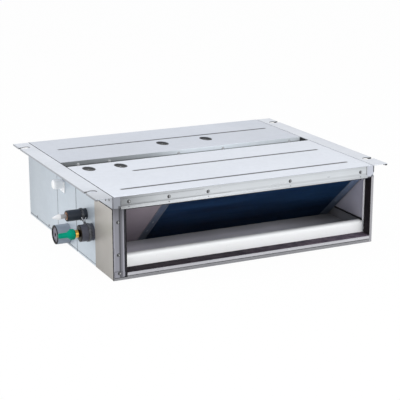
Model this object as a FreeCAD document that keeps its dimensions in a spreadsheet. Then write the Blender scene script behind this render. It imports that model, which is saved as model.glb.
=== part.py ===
import FreeCAD, Part
import math
import os
import re

import Sketcher
from FreeCAD import Placement, Rotation, Vector

# Ducted air conditioner, in millimetres.
# X runs to the right as seen from the outlet, Y to the back where the air comes in, Z up.
# The origin is the middle of the casing's underside.

doc = FreeCAD.newDocument("DuctedAirConditioner")

# Driving dimensions
# A setback is a distance behind the outlet face. A height is above the underside.

SIZES = {
    "casing_width": (700, "outside width over the front cover plates"),
    "casing_depth": (615, "outlet face to inlet face"),
    "casing_height": (200, "underside to top panels"),
    "gauge": (1, "thickness of the galvanised sheet"),
    "side_inset": (2, "side sheets behind the cover plates and rail legs"),
    "rail_reach": (40, "hanging rail beyond the casing"),
    "rail_gauge": (2, "thickness of the hanging rails"),
    "rail_leg": (28, "depth of the rail's leg on the side sheet"),
    "hem_width": (8, "rail's outer edge, folded back under itself"),
    "hem_depth": (4.5, "thickness of the rail's folded edge"),
    "slot_width": (13, "mouth of a slot for an M10 hanging rod"),
    "slot_eye": (21, "round inner end of a rod slot"),
    "slot_pitch_across": (742, "distance between rods across the unit"),
    "slot_pitch_along": (491, "distance between rods along the unit"),
    "slot_shift": (6, "middle of the rods behind the casing's middle"),
    "channel_setback": (313, "front wall of the sunk channel"),
    "channel_width": (47, "inside width of the sunk channel"),
    "channel_drop": (15, "top panels to channel floor"),
    "bead_width": (5, "pressed bead in a top panel"),
    "bead_depth": (0.6, "depth of a pressed bead"),
    "dimple_radius": (16.5, "rim of a screw dimple"),
    "dimple_floor": (9, "flat floor radius of a screw dimple"),
    "dimple_depth": (5, "depth of a screw dimple"),
    "mouth_left": (34, "outlet opening's left edge from the left end"),
    "mouth_right": (7, "outlet opening's right edge from the right end"),
    "mouth_sill": (17, "height of the outlet opening's lower edge"),
    "mouth_head": (170, "height of the outlet opening's upper edge"),
    "frame_return": (25, "depth of the outlet frame's inner return"),
    "foam_thickness": (2, "black foam round the outlet"),
    "cover_depth": (115, "front cover plate along the side"),
    "cover_height": (172, "top of the front cover plate"),
    "seam_front": (246, "setback of the side's front seam"),
    "seam_rear": (384, "setback of the side's rear seam"),
    "pan_setback": (33, "front wall of the drain pan"),
    "pan_height": (50, "top of the drain pan"),
    "pan_floor": (25, "height of the pan's floor"),
    "trough_floor": (12, "height of the trough under the coil"),
    "pan_wall": (12, "thickness of the pan's foam wall"),
    "coil_tilt": (40.5, "coil from the horizontal, in degrees"),
    "coil_setback": (35, "coil face's top edge behind the outlet face"),
    "coil_top": (164.6, "height of the coil face's top edge"),
    "coil_length": (231, "coil along its slope: 11 tubes 21 mm apart"),
    "coil_depth": (40, "coil through its thickness: 3 rows of tubes"),
    "coil_left": (161, "first fin from the left end"),
    "coil_right": (664, "last fin from the left end"),
    "fin_pitch": (7.5, "distance between the fin edges"),
    "fin_edge": (2.5, "depth of the gaps between the fin edges"),
    "tube_pitch": (21, "distance between coil tubes along the slope"),
    "plate_reach": (20, "end plate's flange beside the fins"),
    "liquid_setback": (180, "liquid connection"),
    "liquid_height": (115, "liquid connection"),
    "liquid_reach": (46, "liquid insulation beyond the side sheet"),
    "liquid_radius": (13.5, "liquid insulation"),
    "gas_setback": (139, "gas connection"),
    "gas_height": (81, "gas connection"),
    "gas_reach": (33, "gas insulation beyond the side sheet"),
    "gas_radius": (20.5, "gas insulation"),
    "drain_setback": (310, "drain connection"),
    "drain_height": (30.5, "drain connection"),
    "drain_reach": (36, "drain insulation beyond the side sheet"),
    "drain_radius": (24.5, "drain insulation"),
    "port_setback": (340, "pump drain port"),
    "port_height": (150, "pump drain port"),
    "port_reach": (24, "pump drain port beyond the side sheet"),
    "port_radius": (12.5, "pump drain port"),
    "fan_setback": (478, "fan shaft"),
    "fan_height": (92, "fan shaft"),
    "fan_shift": (36, "motor's middle to the right of the casing's middle"),
    "wheel_radius": (70, "outside of an impeller"),
    "wheel_width": (150, "length of an impeller"),
    "blade_depth": (11, "radial depth of a blade"),
    "blade_gauge": (1.4, "thickness of a blade"),
    "blade_count": (32, "blades round an impeller"),
    "scroll_width": (164, "outside width of a scroll housing"),
    "scroll_wall": (2, "wall of a scroll housing"),
    "scroll_radius": (81, "scroll's first quarter"),
    "scroll_growth": (8, "growth of the scroll's radius in each quarter"),
    "scroll_gap": (40, "motor end to scroll housing"),
    "shaft_radius": (6, "fan shaft"),
    "motor_radius": (46, "motor body"),
    "motor_length": (106, "motor body"),
    "inlet_border": (24, "inlet frame's border"),
    "duct_pitch_across": (600, "inlet duct's screw holes"),
    "duct_pitch_up": (177, "inlet duct's screw holes"),
    "filter_width": (660, "air filter"),
    "filter_height": (158, "air filter"),
    "filter_depth": (6, "air filter's frame"),
    "screw_radius": (4, "across the corners of a screw head"),
    "screw_head": (2, "height of a screw head"),
}

sheet = doc.addObject("Spreadsheet::Sheet", "Sizes")
for row, (alias, (value, meaning)) in enumerate(SIZES.items(), start=1):
    sheet.set(f"A{row}", str(value))
    sheet.setAlias(f"A{row}", alias)
    sheet.set(f"B{row}", meaning)
doc.recompute()

# Places that many pieces share, as expressions of the driving dimensions

HALF = "casing_width/2"
FRONT = "casing_depth/2"
SKIN = "(casing_width/2 - side_inset)"
ALIAS = re.compile(r"\b(" + "|".join(SIZES) + r")\b")

pieces = []


def size(alias):
    """Value of one driving dimension."""
    return SIZES[alias][0]


def bound(text):
    """Expression of the sheet's cells for a formula written with their aliases."""
    return ALIAS.sub(r"Sizes.\1", str(text))


def behind(setback):
    """Y of a place that lies this far behind the outlet face."""
    return f"({setback} - casing_depth/2)"


def across(distance):
    """X of a place that lies this far from the casing's left end."""
    return f"({distance} - casing_width/2)"


def keep(piece, label):
    """Name a finished sub-part and put it on the list that is written out."""
    piece.Label = label
    pieces.append(piece)
    return piece


# Drawing aids

PLANE_SIGN = {"XY_Plane": 1, "YZ_Plane": 1, "XZ_Plane": -1}


def rectangle(low_x, low_y, high_x, high_y):
    """Closed outline of an upright rectangle."""
    return [(low_x, low_y), (high_x, low_y), (high_x, high_y), (low_x, high_y)]


def draw(body, plane, start, outlines):
    """Sketch on an origin plane moved to start, with outlines of corners or (x, y, radius) circles."""
    sketch = body.newObject("Sketcher::SketchObject", "Outline")
    support = next(f for f in body.Origin.OriginFeatures if f.Role == plane)
    sketch.AttachmentSupport = [(support, "")]
    sketch.MapMode = "FlatFace"
    sign = "" if PLANE_SIGN[plane] > 0 else "-"
    sketch.setExpression("AttachmentOffset.Base.z", bound(f"{sign}({start})"))

    def pin(kind, edge, point, guess, formula):
        index = sketch.addConstraint(Sketcher.Constraint(kind, edge, point, guess))
        sketch.setExpression(f"Constraints[{index}]", bound(formula))

    for outline in outlines:
        first = sketch.GeometryCount
        if isinstance(outline, tuple):
            sketch.addGeometry(Part.Circle(Vector(1, 1, 0), Vector(0, 0, 1), 1), False)
            pin("DistanceX", first, 3, 1, outline[0])
            pin("DistanceY", first, 3, 1, outline[1])
            index = sketch.addConstraint(Sketcher.Constraint("Radius", first, 1))
            sketch.setExpression(f"Constraints[{index}]", bound(outline[2]))
            continue
        count = len(outline)
        rough = [Vector(50 * math.cos(2 * math.pi * i / count),
                        50 * math.sin(2 * math.pi * i / count), 0) for i in range(count)]
        for i in range(count):
            sketch.addGeometry(Part.LineSegment(rough[i], rough[(i + 1) % count]), False)
        for i in range(count):
            following = first + (i + 1) % count
            sketch.addConstraint(Sketcher.Constraint("Coincident", first + i, 2, following, 1))
        for i, (corner_x, corner_y) in enumerate(outline):
            pin("DistanceX", first + i, 1, rough[i].x, corner_x)
            pin("DistanceY", first + i, 1, rough[i].y, corner_y)
    return sketch


def pad(body, plane, start, length, outlines):
    """Add the outlines' area, from start along the plane's positive axis."""
    feature = body.newObject("PartDesign::Pad", "Pad")
    feature.Profile = draw(body, plane, start, outlines)
    feature.Reversed = PLANE_SIGN[plane] < 0
    feature.setExpression("Length", bound(length))
    return feature


def pocket(body, plane, start, length, outlines):
    """Take away the outlines' area, from start along the plane's positive axis."""
    feature = body.newObject("PartDesign::Pocket", "Pocket")
    feature.Profile = draw(body, plane, start, outlines)
    feature.Reversed = PLANE_SIGN[plane] > 0
    feature.setExpression("Length", bound(length))
    return feature


def extrusion(label, plane, start, length, *outlines):
    """Sub-part made of one padded sketch."""
    body = doc.addObject("PartDesign::Body", label)
    pad(body, plane, start, length, outlines)
    return keep(body, label)


AXIS_TURN = {
    "x": Rotation(Vector(0, 1, 0), 90),
    "y": Rotation(Vector(1, 0, 0), -90),
    "z": Rotation(),
}


def primitive(kind, axis, place, **sizes):
    """Part primitive standing at place, its own axis turned to x, y or z, all bound to the sheet."""
    shape = doc.addObject(f"Part::{kind}", kind)
    shape.Placement = Placement(Vector(), AXIS_TURN[axis])
    for letter, formula in zip("xyz", place):
        shape.setExpression(f"Placement.Base.{letter}", bound(formula))
    for name, formula in sizes.items():
        shape.setExpression(name, bound(formula))
    return shape


def joined(label, shapes):
    """Sub-part made of overlapping or touching shapes."""
    union = doc.addObject("Part::MultiFuse", label)
    union.Shapes = shapes
    union.Refine = True
    return keep(union, label)


def difference(base, tools):
    """Base with every tool cut out of it."""
    for tool in tools:
        cut = doc.addObject("Part::Cut", "Cut")
        cut.Base = base
        cut.Tool = tool
        base = cut
    return base


def group(label, shapes):
    """Sub-part of alike but separate solids."""
    compound = doc.addObject("Part::Compound", label)
    compound.Links = shapes
    return keep(compound, label)


def solid(label, shape):
    """Sub-part whose shape is worked out from the sheet's values."""
    feature = doc.addObject("Part::Feature", label)
    feature.Shape = shape
    return keep(feature, label)


def ring_profile(body, outline):
    """Turn a closed outline of (x, radius) corners about the body's X axis."""
    turned = body.newObject("PartDesign::Revolution", "Turned")
    turned.Profile = draw(body, "XZ_Plane", "0", [outline])
    axis = next(f for f in body.Origin.OriginFeatures if f.Role == "X_Axis")
    turned.ReferenceAxis = (axis, [""])
    turned.Angle = 360
    return turned


# Side sheets
# The left side is three sheets with two seams. Each has a flange turned in at its foot.

SIDE_FOOT = 12
SIDE_TOP = "casing_height - rail_gauge"


def side_profile(side):
    """Upright sheet with its foot turned in, seen along Y."""
    outer = f"{side}*{SKIN}"
    inner = f"{side}*({SKIN} - gauge)"
    toe = f"{side}*({SKIN} - {SIDE_FOOT})"
    return [(outer, "0"), (outer, SIDE_TOP), (inner, SIDE_TOP),
            (inner, "gauge"), (toe, "gauge"), (toe, "0")]


def side_sheet(label, side, start, end, holes):
    """One section of a side, with round holes given as (setback, height, radius)."""
    body = extrusion(label, "XZ_Plane", behind(start), f"{end} - ({start})", side_profile(side))
    if holes:
        low = f"-{SKIN} - gauge" if side < 0 else f"{SKIN} - 2*gauge"
        circles = [(behind(setback), height, radius) for setback, height, radius in holes]
        pocket(body, "YZ_Plane", low, "3*gauge", circles)
    return body


SEAM = 0.3
side_sheet("left_side_panel", -1, "gauge*2", "seam_front", [
    ("liquid_setback", "liquid_height", "liquid_radius + 0.3"),
    ("gas_setback", "gas_height", "gas_radius + 0.3")])
side_sheet("left_service_panel", -1, f"seam_front + {SEAM}", "seam_rear", [
    ("drain_setback", "drain_height", "drain_radius + 0.3"),
    ("port_setback", "port_height", "port_radius - 3")])
side_sheet("left_electrics_panel", -1, f"seam_rear + {SEAM}", "casing_depth - gauge", [])
right_side = side_sheet("right_side_panel", 1, "gauge*2", "casing_depth - gauge", [])

# Scored ring of the fresh-air knockout in the right side sheet, with its four screw holes
KNOCKOUT_SETBACK = "casing_depth*0.78"
KNOCKOUT_HEIGHT = "casing_height/2"
KNOCKOUT_RADIUS = 46
pocket(right_side, "YZ_Plane", f"{SKIN} - 0.5", "gauge", [
    (behind(KNOCKOUT_SETBACK), KNOCKOUT_HEIGHT, KNOCKOUT_RADIUS),
    (behind(KNOCKOUT_SETBACK), KNOCKOUT_HEIGHT, KNOCKOUT_RADIUS - 2)])
pocket(right_side, "YZ_Plane", f"{SKIN} - 2*gauge", "3*gauge", [
    (behind(f"{KNOCKOUT_SETBACK} + {dy * 40}"), f"{KNOCKOUT_HEIGHT} + {dz * 40}", "2")
    for dy in (-1, 1) for dz in (-1, 1)])

# Hanging rails
# An angle along the top of each side with a folded outer edge. Two rod slots open to that edge.


def hanging_rail(label, side):
    """Flange and leg of one rail, seen along Y, with its two open slots."""
    edge = f"{side}*({HALF} + rail_reach)"
    leg = f"{side}*{HALF}"
    inner = f"{side}*{SKIN}"
    under = "casing_height - rail_gauge"
    foot = "casing_height - rail_leg"
    hem = f"{side}*({HALF} + rail_reach - hem_width)"
    hem_under = "casing_height - hem_depth"
    profile = [(edge, "casing_height"), (inner, "casing_height"), (inner, foot), (leg, foot),
               (leg, under), (hem, under), (hem, hem_under), (edge, hem_under)]
    body = extrusion(label, "XZ_Plane", behind("2"), "casing_depth - 4", profile)
    for end in (-1, 1):
        middle = f"(slot_shift + {end}*slot_pitch_along/2)"
        closed = f"{side}*slot_pitch_across/2"
        mouth = f"{side}*({HALF} + rail_reach + 5)"
        low_y = f"{middle} - slot_width/2"
        high_y = f"{middle} + slot_width/2"
        pocket(body, "XY_Plane", f"{hem_under} - 1", "hem_depth + 2",
               [rectangle(closed, low_y, mouth, high_y)])
        pocket(body, "XY_Plane", f"{hem_under} - 1", "hem_depth + 2", [(closed, middle, "slot_eye/2")])
    return body


hanging_rail("left_hanging_rail", -1)
hanging_rail("right_hanging_rail", 1)

# Top panels
# Two flat lids with pressed beads and conical screw dimples, and the sunk channel between them.

TOP_GAP = 2
PANEL_EDGE = f"({HALF} - side_inset - {TOP_GAP})"


def dimple_cone(x, y, low):
    """Frustum of one screw dimple, its floor at the given height."""
    return primitive("Cone", "z", (x, y, low),
                     Radius1="dimple_floor", Radius2="dimple_radius", Height="dimple_depth")


def top_panel(label, start, end, beads, dimples):
    """Lid between two setbacks, with beads (setback, left, right) and dished dimples (x, y)."""
    blank = doc.addObject("PartDesign::Body", f"{label}_blank")
    pad(blank, "XY_Plane", "casing_height - gauge", "gauge",
        [rectangle(f"-{PANEL_EDGE}", behind(start), PANEL_EDGE, behind(end))])
    grooves = [rectangle(across(left), behind(f"({setback} - bead_width/2)"),
                         across(right), behind(f"({setback} + bead_width/2)"))
               for setback, left, right in beads]
    pocket(blank, "XY_Plane", "casing_height - bead_depth", "1", grooves)
    dished = doc.addObject("Part::MultiFuse", f"{label}_dished")
    dished.Shapes = [blank] + [dimple_cone(x, y, "casing_height - dimple_depth - gauge")
                               for x, y in dimples]
    hollows = [dimple_cone(x, y, "casing_height - dimple_depth") for x, y in dimples]
    return keep(difference(dished, hollows), label)


top_panel("front_top_panel", "2", "channel_setback - gauge - 0.3",
          [("58", "40", "661"), ("208", "133", "664")],
          [(across("48"), behind("275")), (across("131"), behind("272"))])
top_panel("rear_top_panel", "channel_setback + channel_width + gauge + 0.3", "casing_depth",
          [("498", "42", "667")],
          [(across("325"), behind("453")), (across("454.5"), behind("454.5"))])

CHANNEL_FLOOR = "(casing_height - channel_drop)"
channel_front = behind("channel_setback")
channel_back = behind("(channel_setback + channel_width)")
extrusion("top_channel", "YZ_Plane", f"-{PANEL_EDGE}", f"2*{PANEL_EDGE}", [
    (f"{channel_front} - gauge", "casing_height"), (channel_front, "casing_height"),
    (channel_front, CHANNEL_FLOOR), (channel_back, CHANNEL_FLOOR),
    (channel_back, "casing_height"), (f"{channel_back} + gauge", "casing_height"),
    (f"{channel_back} + gauge", f"{CHANNEL_FLOOR} - gauge"),
    (f"{channel_front} - gauge", f"{CHANNEL_FLOOR} - gauge")])

# Bottom panels
# A cover under the drain pan and a service cover under the fans, each with two pressed beads.

BOTTOM_EDGE = f"({SKIN} - {SIDE_FOOT} - 0.3)"


def bottom_panel(label, start, end):
    """Flat cover between two setbacks, with beads a quarter of its depth from its ends."""
    body = extrusion(label, "XY_Plane", "0", "gauge",
                     rectangle(f"-{BOTTOM_EDGE}", behind(start), BOTTOM_EDGE, behind(end)))
    bead_end = f"({BOTTOM_EDGE} - 40)"
    for share in (0.25, 0.75):
        middle = behind(f"(({start})*(1 - {share}) + ({end})*{share})")
        pocket(body, "XY_Plane", "-1", "1 + bead_depth", [
            rectangle(f"-{bead_end}", f"{middle} - bead_width/2", bead_end, f"{middle} + bead_width/2")])


bottom_panel("front_bottom_panel", "gauge*2", "channel_setback + channel_width - 0.3")
bottom_panel("rear_bottom_panel", "channel_setback + channel_width", "casing_depth - gauge")

# Outlet frame
# Four folded strips with corner pieces, lined with black foam.

FACE = f"(-{FRONT})"
LEFT_EDGE = across("mouth_left")
RIGHT_EDGE = across("(casing_width - mouth_right)")
RETURN = behind("frame_return")
TOP_STRIP_LEFT = across("20")
TOP_STRIP_RIGHT = across("(casing_width - 20)")
LIP_TOP = "(mouth_head + 7)"
LIP_REACH = 3

top_strip_profile = [
    (FACE, "casing_height - gauge"), (FACE, LIP_TOP),
    (f"{FACE} - {LIP_REACH}", "mouth_head + gauge"), (f"{FACE} - {LIP_REACH}", "mouth_head"),
    (RETURN, "mouth_head"), (RETURN, "mouth_head + gauge"),
    (f"{FACE} - {LIP_REACH} + gauge*1.3", "mouth_head + gauge"),
    (f"{FACE} + gauge", LIP_TOP), (f"{FACE} + gauge", "casing_height - gauge")]
top_flange = extrusion("outlet_top_flange", "YZ_Plane", TOP_STRIP_LEFT,
                       f"{TOP_STRIP_RIGHT} - {TOP_STRIP_LEFT}", top_strip_profile)
pad(top_flange, "YZ_Plane", TOP_STRIP_LEFT, f"{RIGHT_EDGE} - 0.3 - {TOP_STRIP_LEFT}",
    [rectangle(f"{FACE} + 2*gauge", "mouth_head", RETURN, "mouth_head + gauge")])

# The top strip's end pieces, the right one with its lower corner cut off
left_corner = doc.addObject("PartDesign::Body", "LeftCorner")
pad(left_corner, "XZ_Plane", FACE, "gauge", [
    rectangle(f"-{HALF}", "cover_height", f"{TOP_STRIP_LEFT} - 0.3", "casing_height - gauge")])
right_corner = doc.addObject("PartDesign::Body", "RightCorner")
pad(right_corner, "XZ_Plane", FACE, "gauge", [[
    (f"{TOP_STRIP_RIGHT} + 0.3", "cover_height"), (f"{HALF} - 9", "cover_height"),
    (HALF, "cover_height + 9"), (HALF, "casing_height - gauge"),
    (f"{TOP_STRIP_RIGHT} + 0.3", "casing_height - gauge")]])
group("outlet_corners", [left_corner, right_corner])

# The left strip steps back at 20 mm and folds into the return at the opening's edge
left_face = across("0")
step_left = across("18")
step_right = across("20")
fold_left = across("26")
STEP = 2
BAND_HIGH = 6.5
BAND_GAP = 0.5
left_foot = BAND_HIGH + BAND_GAP
left_flange = extrusion(
    "outlet_left_flange", "XY_Plane", str(left_foot), f"cover_height - {left_foot} - 0.3", [
    (left_face, FACE), (step_left, FACE), (step_right, f"{FACE} + {STEP}"), (fold_left, f"{FACE} + {STEP}"),
    (LEFT_EDGE, f"{FACE} + {STEP * 3}"), (LEFT_EDGE, RETURN), (f"{LEFT_EDGE} - gauge", RETURN),
    (f"{LEFT_EDGE} - gauge", f"{FACE} + {STEP * 3} + gauge*0.6"), (fold_left, f"{FACE} + {STEP} + gauge"),
    (f"{step_right} - gauge*0.6", f"{FACE} + {STEP} + gauge"),
    (f"{step_left} - gauge*0.6", f"{FACE} + gauge"), (left_face, f"{FACE} + gauge")])
pocket(left_flange, "XY_Plane", "mouth_head - 0.3", "10",
       [rectangle(across("19.5"), f"{FACE} - 1", f"{LEFT_EDGE} + 1", f"{RETURN} + 1")])
extrusion("outlet_right_flange", "XY_Plane", "gauge", "cover_height - gauge - 0.3", [
    (HALF, FACE), (RIGHT_EDGE, FACE), (RIGHT_EDGE, RETURN), (f"{RIGHT_EDGE} + gauge", RETURN),
    (f"{RIGHT_EDGE} + gauge", f"{FACE} + gauge"), (HALF, f"{FACE} + gauge")])

# The bottom strip has a folded groove half way up and a sill that reaches the drain pan. Its lower
# band runs on under the left strip to the casing's corner.
GROOVE_LOW = 7.5
GROOVE_HIGH = 9
SILL_END = behind("(pan_setback - 0.3)")
bottom_flange = extrusion(
    "outlet_bottom_flange", "YZ_Plane", f"{LEFT_EDGE} + 0.3", f"{RIGHT_EDGE} - {LEFT_EDGE} - 0.6", [
    (FACE, "gauge"), (FACE, str(GROOVE_LOW)), (f"{FACE} + 1.5", str(GROOVE_LOW + 0.5)),
    (f"{FACE} + 1.5", str(GROOVE_HIGH)), (FACE, str(GROOVE_HIGH + 0.5)),
    (FACE, "mouth_sill"), (SILL_END, "mouth_sill"), (SILL_END, "mouth_sill - gauge"),
    (f"{FACE} + gauge", "mouth_sill - gauge"), (f"{FACE} + gauge", str(GROOVE_HIGH + 1)),
    (f"{FACE} + 1.5 + gauge", str(GROOVE_HIGH)), (f"{FACE} + 1.5 + gauge", str(GROOVE_LOW + 0.5)),
    (f"{FACE} + gauge", str(GROOVE_LOW - 0.5)), (f"{FACE} + gauge", "gauge")])
pad(bottom_flange, "YZ_Plane", across("0"), f"{LEFT_EDGE} + 1 - {across('0')}",
    [rectangle(FACE, "gauge", f"{FACE} + gauge", str(BAND_HIGH))])

extrusion("outlet_corner_plate", "XZ_Plane", f"{FACE} - gauge", "gauge",
          rectangle(across("3"), "7.5", across("21.5"), "22.8"))

foam_back = f"{RETURN} - {FACE}"
foam = [
    primitive("Box", "z", (f"{RIGHT_EDGE} - foam_thickness", FACE, "mouth_sill + foam_thickness"),
              Length="foam_thickness", Width=foam_back, Height="mouth_head - mouth_sill - 2*foam_thickness"),
    primitive("Box", "z", (LEFT_EDGE, f"{FACE} + {STEP * 3}", "mouth_sill + foam_thickness"),
              Length="foam_thickness", Width=f"{foam_back} - {STEP * 3}",
              Height="mouth_head - mouth_sill - 2*foam_thickness"),
    primitive("Box", "z", (LEFT_EDGE, FACE, "mouth_sill"),
              Length=f"{RIGHT_EDGE} - {LEFT_EDGE}", Width=f"{SILL_END} - {FACE}", Height="foam_thickness"),
    primitive("Box", "z", (LEFT_EDGE, FACE, "mouth_head - foam_thickness"),
              Length=f"{RIGHT_EDGE} - {LEFT_EDGE}", Width=foam_back, Height="foam_thickness"),
]
group("outlet_foam_lining", foam)

# Front cover plates on both ends, with the black strip that shows round the left one

for label, side in (("left_front_cover", -1), ("right_front_cover", 1)):
    extrusion(label, "YZ_Plane", f"-{HALF}" if side < 0 else SKIN, "side_inset",
              rectangle(f"{FACE} + gauge + 0.5", "gauge", behind("cover_depth"), "cover_height - 0.5"))

# Inner insulation: a sheet under the front lid and a slab on each side above the drain pan

INNER = f"({SKIN} - gauge)"
LINING = 4
lining_length = "channel_setback - gauge - 2 - frame_return - 5"
lining_top = f"({CHANNEL_FLOOR} - gauge - 4)"
LID_FOAM = 5
LID_FOAM_FRONT = "70"
LID_FOAM_LENGTH = "180"


def side_lining(side):
    """Foam slab on a side sheet, with room for the pipes on the left."""
    low_x = f"-{INNER}" if side < 0 else f"{INNER} - {LINING}"
    slab = primitive("Box", "z", (low_x, behind("(frame_return + 3)"), "pan_height"),
                     Length=str(LINING), Width=lining_length, Height=f"{lining_top} - pan_height")
    if side > 0:
        return slab
    return difference(slab, [
        primitive("Cylinder", "x", (f"{low_x} - 1", behind(f"{pipe}_setback"), f"{pipe}_height"),
                  Radius=f"{pipe}_radius + 0.3", Height=str(LINING + 2)) for pipe in ("liquid", "gas")])


group("inner_insulation", [
    side_lining(-1),
    side_lining(1),
    primitive("Box", "z", (f"-{PANEL_EDGE}", behind(LID_FOAM_FRONT), f"casing_height - gauge - {LID_FOAM}"),
              Length=f"2*{PANEL_EDGE}", Width=LID_FOAM_LENGTH, Height=str(LID_FOAM))])

# Drain pan
# White foam tray with a trough under the coil's foot and a bay at the left rear for the pump.

PAN_LEFT = f"(-{INNER} + 0.5)"
PAN_RIGHT = f"({INNER} - 0.5)"
PAN_REAR = behind("278")
BAY_REAR = behind("332")
BAY_RIGHT = across("110")
pan_front = behind("pan_setback")
pan = extrusion("drain_pan", "XY_Plane", "gauge + 0.5", "pan_height - gauge - 0.5", [
    (PAN_LEFT, pan_front), (PAN_RIGHT, pan_front), (PAN_RIGHT, PAN_REAR),
    (BAY_RIGHT, PAN_REAR), (BAY_RIGHT, BAY_REAR), (PAN_LEFT, BAY_REAR)])
SIDE_WALL = 5
TROUGH_FRONT = behind("195")
pocket(pan, "XY_Plane", "pan_floor", "pan_height", [
    rectangle(f"{PAN_LEFT} + {SIDE_WALL}", f"{pan_front} + pan_wall",
              f"{PAN_RIGHT} - {SIDE_WALL}", TROUGH_FRONT)])
pocket(pan, "XY_Plane", "trough_floor", "pan_height", [[
    (f"{PAN_LEFT} + {SIDE_WALL}", TROUGH_FRONT), (f"{PAN_RIGHT} - {SIDE_WALL}", TROUGH_FRONT),
    (f"{PAN_RIGHT} - {SIDE_WALL}", f"{PAN_REAR} - pan_wall"),
    (f"{BAY_RIGHT} - pan_wall", f"{PAN_REAR} - pan_wall"),
    (f"{BAY_RIGHT} - pan_wall", f"{BAY_REAR} - pan_wall"),
    (f"{PAN_LEFT} + {SIDE_WALL}", f"{BAY_REAR} - pan_wall")]])
DRAIN_BORE = 11
pocket(pan, "YZ_Plane", f"{PAN_LEFT} - 1", f"{SIDE_WALL} + 2",
       [(behind("drain_setback"), "drain_height", f"{DRAIN_BORE} + 0.05")])

# Coil
# Its own frame starts at the face's top edge: Y runs down the slope, Z through the coil's depth.

TILT = Rotation(Vector(1, 0, 0), -size("coil_tilt"))


def on_coil(body):
    """Stand a body built in the coil's frame at its place in the casing."""
    body.Placement = Placement(Vector(), TILT)
    body.setExpression("Placement.Base.y", bound(behind("coil_setback")))
    body.setExpression("Placement.Base.z", bound("coil_top"))
    return body


FIN_LEFT = across("coil_left")
FIN_RIGHT = across("coil_right")
FIN_SHARE = 0.5
fins = extrusion("evaporator_fins", "XY_Plane", "fin_edge", "coil_depth - 2*fin_edge",
                 rectangle(FIN_LEFT, "0", FIN_RIGHT, "coil_length"))
fin = pad(fins, "XY_Plane", "0", "coil_depth",
          [rectangle(FIN_LEFT, "0", f"{FIN_LEFT} + fin_pitch*{FIN_SHARE}", "coil_length")])
fin_row = fins.newObject("PartDesign::LinearPattern", "FinRow")
fin_row.Originals = [fin]
fin_row.Direction = (next(f for f in fins.Origin.OriginFeatures if f.Role == "X_Axis"), [""])
FIN_COUNT = "floor((coil_right - coil_left)/fin_pitch)"
fin_row.setExpression("Occurrences", bound(FIN_COUNT))
fin_row.setExpression("Length", bound(f"(({FIN_COUNT}) - 1)*fin_pitch"))
fins.Tip = fin_row
on_coil(fins)

PLATE = 1.5
WEB = "coil_depth"
on_coil(extrusion("coil_left_end_plate", "XZ_Plane", "0", "coil_length", [
    (f"{FIN_LEFT} - plate_reach", str(-PLATE)), (FIN_LEFT, str(-PLATE)), (FIN_LEFT, WEB),
    (f"{FIN_LEFT} - {PLATE}", WEB), (f"{FIN_LEFT} - {PLATE}", "0"), (f"{FIN_LEFT} - plate_reach", "0")]))
on_coil(extrusion("coil_right_end_plate", "XZ_Plane", "0", "coil_length", [
    (FIN_RIGHT, str(-PLATE)), (f"{FIN_RIGHT} + plate_reach + 6", str(-PLATE)),
    (f"{FIN_RIGHT} + plate_reach + 6", "0"), (f"{FIN_RIGHT} + {PLATE}", "0"),
    (f"{FIN_RIGHT} + {PLATE}", WEB), (FIN_RIGHT, WEB)]))
on_coil(extrusion("header_cover_plate", "XZ_Plane", "0", "coil_length",
                  rectangle(LEFT_EDGE, str(-PLATE), f"{FIN_LEFT} - plate_reach - 0.3", "0")))


# Points and directions of the coil's frame in the casing's frame

tilt = math.radians(size("coil_tilt"))
DOWN_SLOPE = Vector(0, math.cos(tilt), -math.sin(tilt))
THROUGH = Vector(0, math.sin(tilt), math.cos(tilt))
left_end = -size("casing_width") / 2
outlet_face = -size("casing_depth") / 2
COIL_ORIGIN = Vector(0, outlet_face + size("coil_setback"), size("coil_top"))


def coil_point(x, slope, depth):
    """Point at x from the left end, slope down the face and depth through the coil."""
    return COIL_ORIGIN + Vector(left_end + x, 0, 0) + DOWN_SLOPE * slope + THROUGH * depth


def tube_slope(number):
    """Distance down the slope of one coil tube, counted from the top."""
    return size("tube_pitch") * (number + 0.5)


def rod(start, end, radius):
    """Straight round bar between two points."""
    return Part.makeCylinder(radius, (end - start).Length, start, end - start)


# Return bends: half rings of eight-sided tube in flat steps, since the end plates hide them

TUBE = 4
TUBE_SIDES = 8
BEND_STEPS = 6
ROWS = [size("coil_depth") * share for share in (1 / 6, 1 / 2, 5 / 6)]


def return_bend(x, number, depth, side):
    """Half ring that joins tube number to the next one, standing out of an end plate."""
    middle = coil_point(x, tube_slope(number + 0.5), depth)
    axis = Vector(side, 0, 0).cross(DOWN_SLOPE)
    mouth = middle - DOWN_SLOPE * (size("tube_pitch") / 2)
    angles = [2 * math.pi * (i + 0.5) / TUBE_SIDES for i in range(TUBE_SIDES)]
    corners = [mouth + (DOWN_SLOPE * math.cos(angle) + axis * math.sin(angle)) * TUBE for angle in angles]
    section = Part.makePolygon(corners + corners[:1])
    turns = [180 * step / BEND_STEPS for step in range(BEND_STEPS + 1)]
    return Part.makeLoft([section.rotated(middle, axis, turn) for turn in turns], True, True)


left_plate = size("coil_left") - PLATE
right_plate = size("coil_right") + PLATE
bends = [return_bend(left_plate, number, ROWS[row], -1) for row in (0, 1) for number in (0, 2, 4, 6)]
bends += [return_bend(right_plate, number, ROWS[row], 1) for row in (0, 1) for number in (1, 3, 5, 7)]
solid("return_bends", Part.makeCompound(bends))

# Gas header: a tube along the slope with four feeders into the coil's back row

HEADER_X = 100
HEADER_RADIUS = 8
header = rod(coil_point(HEADER_X, 4, ROWS[2]), coil_point(HEADER_X, 150, ROWS[2]), HEADER_RADIUS)
for number in (0, 2, 4, 6):
    feeder_start = coil_point(HEADER_X, tube_slope(number), ROWS[2])
    header = header.fuse(rod(feeder_start, coil_point(left_plate, tube_slope(number), ROWS[2]), TUBE))
solid("gas_header", header.removeSplitter())

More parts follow.
